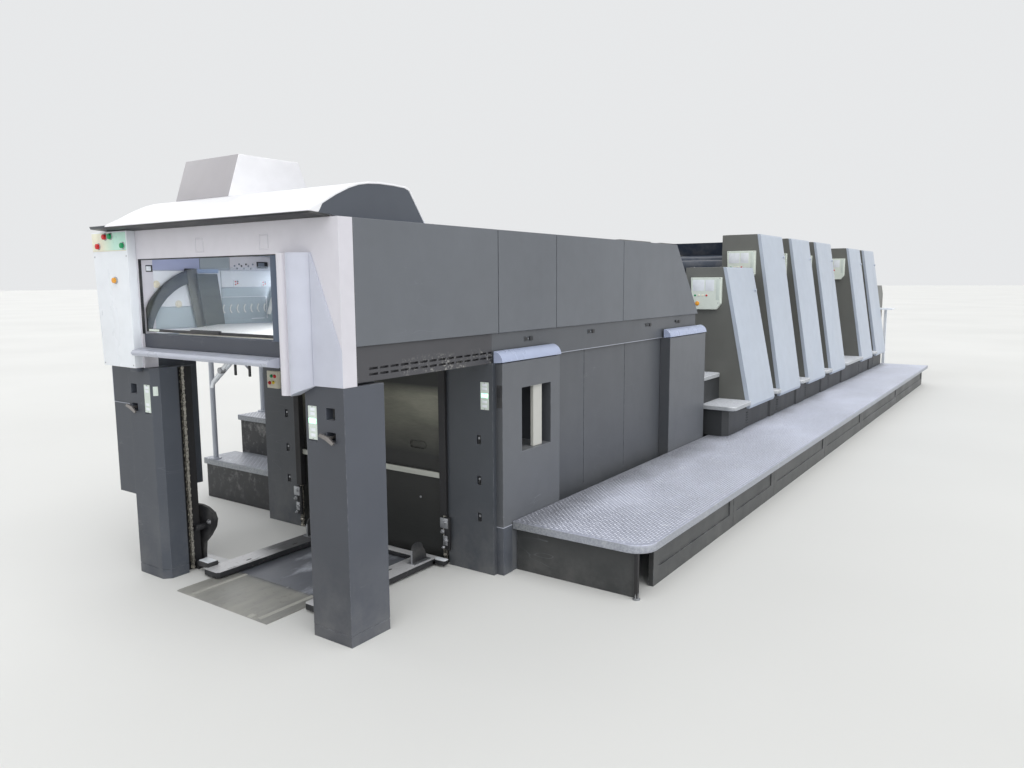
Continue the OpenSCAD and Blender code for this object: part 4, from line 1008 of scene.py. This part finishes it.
def make_drive_side():
    """The side away from the photograph: doors' louvres, handles and cover plates, plainly repeated."""
    plates = Piece("drive_side_fittings")
    for x in UNIT_X:
        plates.blocks(BLACK_STEEL, 3, (x + 92, 1049, 1180, x + 118, 1062, 1330),
                      (x + 96, 1060, 1200, x + 114, 1084, 1216), (x + 96, 1060, 1296, x + 114, 1084, 1312))
        plates.tube([(x + 105, 1082, 1200), (x + 105, 1082, 1312)], 8, STEEL)
        plates.block((x + 300, 1049, 1420), (x + 420, 1053, 1500), PALE_PANEL, 1.5)
    for x in (1150, 1745, 2630):
        plates.block((x + 40, 1079, 1560), (x + 64, 1083, 1640), BLACK_STEEL, 2)
    for x in DRYER_DOORS:
        plates.block((x, 1050, 700), (x + 640, 1056, 1120), DRYER_PAINT, 3)
        plates.block((x + 40, 1055, 880), (x + 62, 1066, 940), BLACK_STEEL, 3)
    plates.done("unit_paint")
    rows = [row for x, top in zip(UNIT_X, UNIT_TOP) for row in ((x, top - 430, 9), (x, 700, 7))]
    for i, (x, z, count) in enumerate(rows):
        mesh = LOUVRES.run(f"louvres_{i}", {
            "Count": count, "Step": 0.03, "Length": 0.42, "Depth": 0.009, "Rise": 0.008, "Finish": UNIT_PAINT,
        })
        centre = place(x + UNIT_LENGTH / 2, 1050, z)
        shown(f"door_louvres_{i + 1}", mesh, FIXED, Matrix.Translation(centre))


def make_top_covers():
    """Cover plates, grips and screws on top of the housing, the dryer and the units."""
    covers = Piece("housing_top_covers")
    for low, high in TOP_COVERS:
        covers.block((low, -800, 1891), (high, 1030, 1895), PANEL_PAINT, 1.5)
        for y in (-500, 700):
            middle = (low + high) / 2
            grip = ((-60, 1893), (-60, 1921), (60, 1921), (60, 1893))
            covers.tube([(middle + dx, y, z) for dx, z in grip], 6, BLACK_STEEL)
    for x, top in zip(UNIT_X, UNIT_TOP):
        covers.blocks(UNIT_PAINT, 1, (x + 30, -830, top, x + UNIT_LENGTH - 30, -520, top + 3),
                      (x + 30, 660, top, x + UNIT_LENGTH - 30, 1034, top + 3))
    covers.done("panel_paint")
    heads = []
    for low, high in TOP_COVERS:
        for x in (low + 20, (low + high) / 2, high - 20):
            for y in (-780, 115, 1010):
                heads.append(((x, y, 1895), (0, 0, 1)))
    for x, top in zip(UNIT_X, UNIT_TOP):
        for dx in (60, 680):
            for y in (-800, -550, 690, 1004):
                heads.append(((x + dx, y, top + 3), (0, 0, 1)))
        for dx in (76, 664):
            for z in (690, (700 + top) / 2, top - 150):
                heads.append(((x + dx, 1050, z), (0, 1, 0)))
    for x in DRYER_DOORS:
        for dx in (16, 624):
            for z in (716, 1104):
                heads.append(((x + dx, 1056, z), (0, 1, 0)))
    fasteners("cover_screws", heads)


def make_unit_fittings():
    """Channels, blanks, buttons and screws on the operator-side unit panels."""
    panel = Piece("unit_panel_fittings")
    for i, x in enumerate(UNIT_X):
        top = 1640 if i == 0 else 1900
        face = x - 42
        panel.block((face - 1.6, -832, top - 200), (face, -800, top - 14), STRIP_PLASTIC, 0.8)
        for y, far_y in ((-780, -700), (-690, -580)):
            panel.block((face - 1.2, y, top - 120), (face, far_y, top - 20), BOX_PAINT, 0.6)
        knob = [(0, 20), (3, 20), (4, 15), (12, 14), (14, 10)]
        panel.turned((face, -626, top - 232), knob, ORANGE_BUTTON)
        for k, finish in enumerate((GREEN_BUTTON, CREAM, CREAM, RED_BUTTON)):
            panel.turned((face, -604 - k * 36, top - 160), [(0, 9), (2, 9), (3, 7), (7, 6)], finish, 16)
        for y, z in ((-574, top - 12), (-832, top - 8), (-820, top - 226), (-590, top - 270)):
            panel.turned((face, y, z), [(0, 4), (1.5, 4), (2.2, 2.6)], STEEL, 12)
    panel.done("pale_plastic")


def make_bay_floor():
    """The worn ramp with its ridges, the floor plate behind it, and the foot of the walkway."""
    ramp = Piece("ramp_and_floor_plate")
    ramp.prism("y", -325, 414, [(-56, 0), (-40, 4.4), (298, 4.8), (298, 0)], WORN_PLATE, 0.4)
    ramp.block((301, -340, 0), (1012, 414, 4.2), WORN_PLATE, 0.5)
    for y in (-262, 284):
        ramp.prism("x", -38, 296, [(y, 4), (y + 5, 6.6), (y + 25, 6.6), (y + 30, 4)], RIDGE_PLATE)
    ramp.prism("y", -205, -170, [(-52, 1), (-38, 6), (-20, 6), (-14, 4)], RIDGE_PLATE)
    ramp.turned((301, -46, 4), [(0, 9), (1.6, 9), (2.4, 6)], STEEL, 16, axis=(0, 0, 1))
    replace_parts(ramp.done("bare_steel"), "floor_ramp")
    foot = Piece("walkway_foot")
    foot.turned((1201, -1652, 0), [(0, 20), (6, 20), (10, 12), (34, 11), (36, 8)], STEEL, axis=(0, 0, 1))
    foot.done("bare_steel")


def make_lifting_frame():
    """The pile's lifting frame: worn side beams, chain brackets, short arms behind and pallet stops."""
    inner, outer, front, rear = 350, 485, 273.3, 1031.7
    lift = Piece("lifting_frame")
    lift.block((rear - 60, -outer, 12), (rear, outer, 36), LIFT_STEEL, 1.5)
    beam = [(150, inner + 15), (150, outer - 15), (165, outer), (rear, outer), (rear, inner), (165, inner)]
    bracket = [(728, 12), (756, 12), (756, 320), (728, 349), (655, 352), (601, 345), (545, 322), (527, 286),
               (540, 239), (590, 178), (642, 130), (652, 60), (652, 12)]
    stop = [(850, 30), (850, 118), *arc(47, 165, 0, 11, (897, 118), 42), (962, 96), (975, 50), (975, 30)]
    # Each row is low X, nearer Y, low Z, high X, farther Y, high Z, finish and ease.
    bars = [
        (front, outer - 1, 12, front + 60, 756, 36, LIFT_STEEL, 1.5),
        (202, 604, 225, front + 2, 633, 255, LIFT_STEEL, 1.5),
        (990, outer - 60, 14, rear, 552, 40, LIFT_STEEL, 2),
        (996, outer - 4, 40, 1026, 556, 46, BOX_PAINT, 1),
        (172, 470, 40, 240, 566, 66, RUBBER, 2),
        (178, 476, 66, 234, 560, 70, BOX_PAINT, 1),
        (842, 405, 43, 984, 465, 47.5, STEEL, 1),
        (368, 386, 43.4, 402, 398, 44.6, RUBBER, 0.4),
        (700, 386, 43.4, 734, 398, 44.6, RUBBER, 0.4),
    ]
    for side in (-1, 1):
        lift.prism("z", 12, 44, [(x, side * y) for x, y in beam], LIFT_STEEL, 2)
        for x, y, z, far_x, far_y, far_z, finish, ease in bars:
            lift.block((x, side * y, z), (far_x, side * far_y, far_z), finish, ease)
        lift.prism("x", front, front + 20.3, [(side * y, z) for y, z in bracket], RUBBER, 1.5)
        bolt = [(0, 15), (3, 15), (5, 11), (12, 10), (14, 7)]
        lift.turned((front - 0.5, side * 582, 264), bolt, STEEL)
        for y, z in ((690, 300), (690, 90), (706, 210)):
            lift.turned((front - 0.5, side * y, z), [(0, 9), (4, 9), (6, 6)], BLACK_STEEL, 16)
        lift.prism("y", side * 430, side * 440, stop, RUBBER, 1)
        edge = [(848.6, 34), (848.6, 122), (853, 122), (853, 34)]
        lift.prism("y", side * 429.4, side * 440.6, edge, STEEL, 0.5)
    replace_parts(lift.done("black_paint", "pile_carriage"), "pile_carriage")


def make_treads():
    """Raised lugs on the walkways and on the steps between the units."""
    tread_field("walkway_lugs_near", (1196, -1702), (4090, -920), DECK_TOP, 112, 17.0)
    tread_field("walkway_lugs_far", (4106, -1702), (11210, -1090), DECK_TOP, 0.0, 18.0)
    tread_field("drive_walkway_lugs", (1440, 1070), (11210, 1856), DRIVE_DECK_TOP, 0.0, 32.0)
    tread_field("drive_step_lugs", (1180, 1070), (1400, 1934), 300)
    near = [4090] + [x + UNIT_LENGTH for x in UNIT_X[:-1]]
    for i, (low, high) in enumerate(zip(near, UNIT_X)):
        tread_field(f"step_lugs_low_{i + 1}", (low + 50, -1120), (high - 55, -870), STEP_LOW_TOP)
        tread_field(f"step_lugs_high_{i + 1}", (low + 40, -810), (high - 45, -510), STEP_HIGH_TOP)


def make_handrail():
    """The grey pole on the step behind the bay, with its white rail up to the walkway's first posts."""
    rail = Piece("stair_handrail")
    y, foot, low_join, high_join = 1840, 300, 865, 1243
    for x, low, high in ((1192, foot, 1250), (1640, 600, high_join), (2300, 600, high_join)):
        rail.tube([(x, y, low), (x, y, high)], 19, RAIL_GREY, 20)
        rail.turned((x, y, low), [(0, 42), (7, 42), (9, 40)], RAIL_GREY, 28, axis=(0, 0, 1))
    rail.tube([(1195, y, low_join), (1640, y, high_join), (2300, y, high_join)], 15, BOX_PAINT, 16)
    rail.tube([(1640, y, 920), (2300, y, 920)], 12, BOX_PAINT, 16)
    rail.turned((1192, y, 1250), [(0, 19), (5, 17), (8, 11)], RUBBER, 20, axis=(0, 0, 1))
    rail.done("white_paint")


def make_exhaust_front():
    """The grey front sheet over the slanted face of the exhaust box."""
    sheet = Piece("exhaust_front_sheet")
    slant = [(228, 2056.5), (302, 2273), (300, 2273.6), (226.4, 2057.2)]
    sheet.prism("y", 192.5, 649.5, slant, SHEET_PAINT, 0.5)
    sheet.done("light_paint")


def make_stage():
    """Plain pale floor, even pale surroundings and soft lamps."""
    bpy.ops.mesh.primitive_plane_add(size=400, location=(0, 0, 0))
    floor = bpy.context.object
    floor.name = "studio_floor"
    f = Finish("studio_floor_paint")
    broad = f.noise(0.25, 3.0)
    pale = f.mix(f.fade(broad, 0.3, 0.7), (222, 222, 219), (229, 229, 226))
    floor.data.materials.append(f.coat(pale, 0.75))
    world = bpy.data.worlds.new("studio")
    bpy.context.scene.world = world
    world.use_nodes = True
    nodes, links = world.node_tree.nodes, world.node_tree.links
    nodes.clear()
    path = nodes.new("ShaderNodeLightPath")
    seen = path.outputs["Is Camera Ray"]
    for also in ("Is Glossy Ray", "Is Transmission Ray"):
        either = nodes.new("ShaderNodeMath")
        either.operation, either.use_clamp = "ADD", True
        links.new(seen, either.inputs[0])
        links.new(path.outputs[also], either.inputs[1])
        seen = either.outputs[0]
    choose = nodes.new("ShaderNodeMixShader")
    links.new(seen, choose.inputs[0])
    # What lights the press, and what the camera and reflections see.
    for i, (colour, strength) in enumerate((((0.95, 0.97, 1.0, 1), 0.5), ((0.80, 0.81, 0.82, 1), 1.0))):
        pale = nodes.new("ShaderNodeBackground")
        pale.inputs["Color"].default_value, pale.inputs["Strength"].default_value = colour, strength
        links.new(pale.outputs[0], choose.inputs[i + 1])
    links.new(choose.outputs[0], nodes.new("ShaderNodeOutputWorld").inputs[0])
    # Each lamp is given by the way its light comes from, its strength and its spread in degrees.
    lamps = [
        ("window_light", (-0.1, -0.85, 0.45), 5.0, None),
        ("overhead_light", (-0.25, -0.42, 0.87), 1.35, 70),
        ("side_light", (-0.20, -0.95, 0.35), 0.8, 80),
        ("front_light", (-0.95, -0.15, 0.30), 0.5, 80),
        ("back_light", (0.45, 0.85, 0.40), 0.9, 80),
    ]
    for name, source, strength, spread in lamps:
        lamp = bpy.data.lights.new(name, "SUN" if spread else "AREA")
        lamp.energy = strength
        holder = bpy.data.objects.new(name, lamp)
        holder.rotation_euler = Vector(source).to_track_quat("Z", "Y").to_euler()
        bpy.context.scene.collection.objects.link(holder)
        if spread:
            lamp.angle, holder.location = math.radians(spread), (0, 0, 6)
        else:
            lamp.size, holder.location = 0.5, place(330, -180, 1764)
            holder.visible_camera = holder.visible_glossy = holder.visible_transmission = False


def make_camera():
    """The photograph's viewpoint at standing eye height."""
    yaw, pitch, roll = (math.radians(a) for a in (34.816, -7.4817, -0.3226))
    forward = Vector((math.cos(pitch) * math.cos(yaw), math.cos(pitch) * math.sin(yaw), math.sin(pitch)))
    level = Vector((math.sin(yaw), -math.cos(yaw), 0))
    upright = level.cross(forward)
    right = level * math.cos(roll) + upright * math.sin(roll)
    up = upright * math.cos(roll) - level * math.sin(roll)
    camera = bpy.data.cameras.new("photo_camera")
    camera.lens, camera.sensor_width, camera.sensor_fit = 27.62, 36, "HORIZONTAL"
    camera.clip_start, camera.clip_end = 0.05, 200
    holder = bpy.data.objects.new("photo_camera", camera)
    turned = Matrix((right, up, -forward)).transposed().to_4x4()
    holder.matrix_world = Matrix.Translation(place(-2311.1, -3327.5, 1620)) @ turned
    bpy.context.scene.collection.objects.link(holder)
    bpy.context.scene.camera = holder


make_camera()
dress_solids()
make_guard()
make_window_inside()
make_front_fittings()
make_cowl()
make_control_box()
make_bay_fittings()
make_unit_fittings()
make_treads()
make_bay_floor()
make_lifting_frame()
make_exhaust_front()
make_handrail()
make_drive_side()
make_top_covers()
make_stage()
bpy.context.scene.view_settings.view_transform = "Standard"
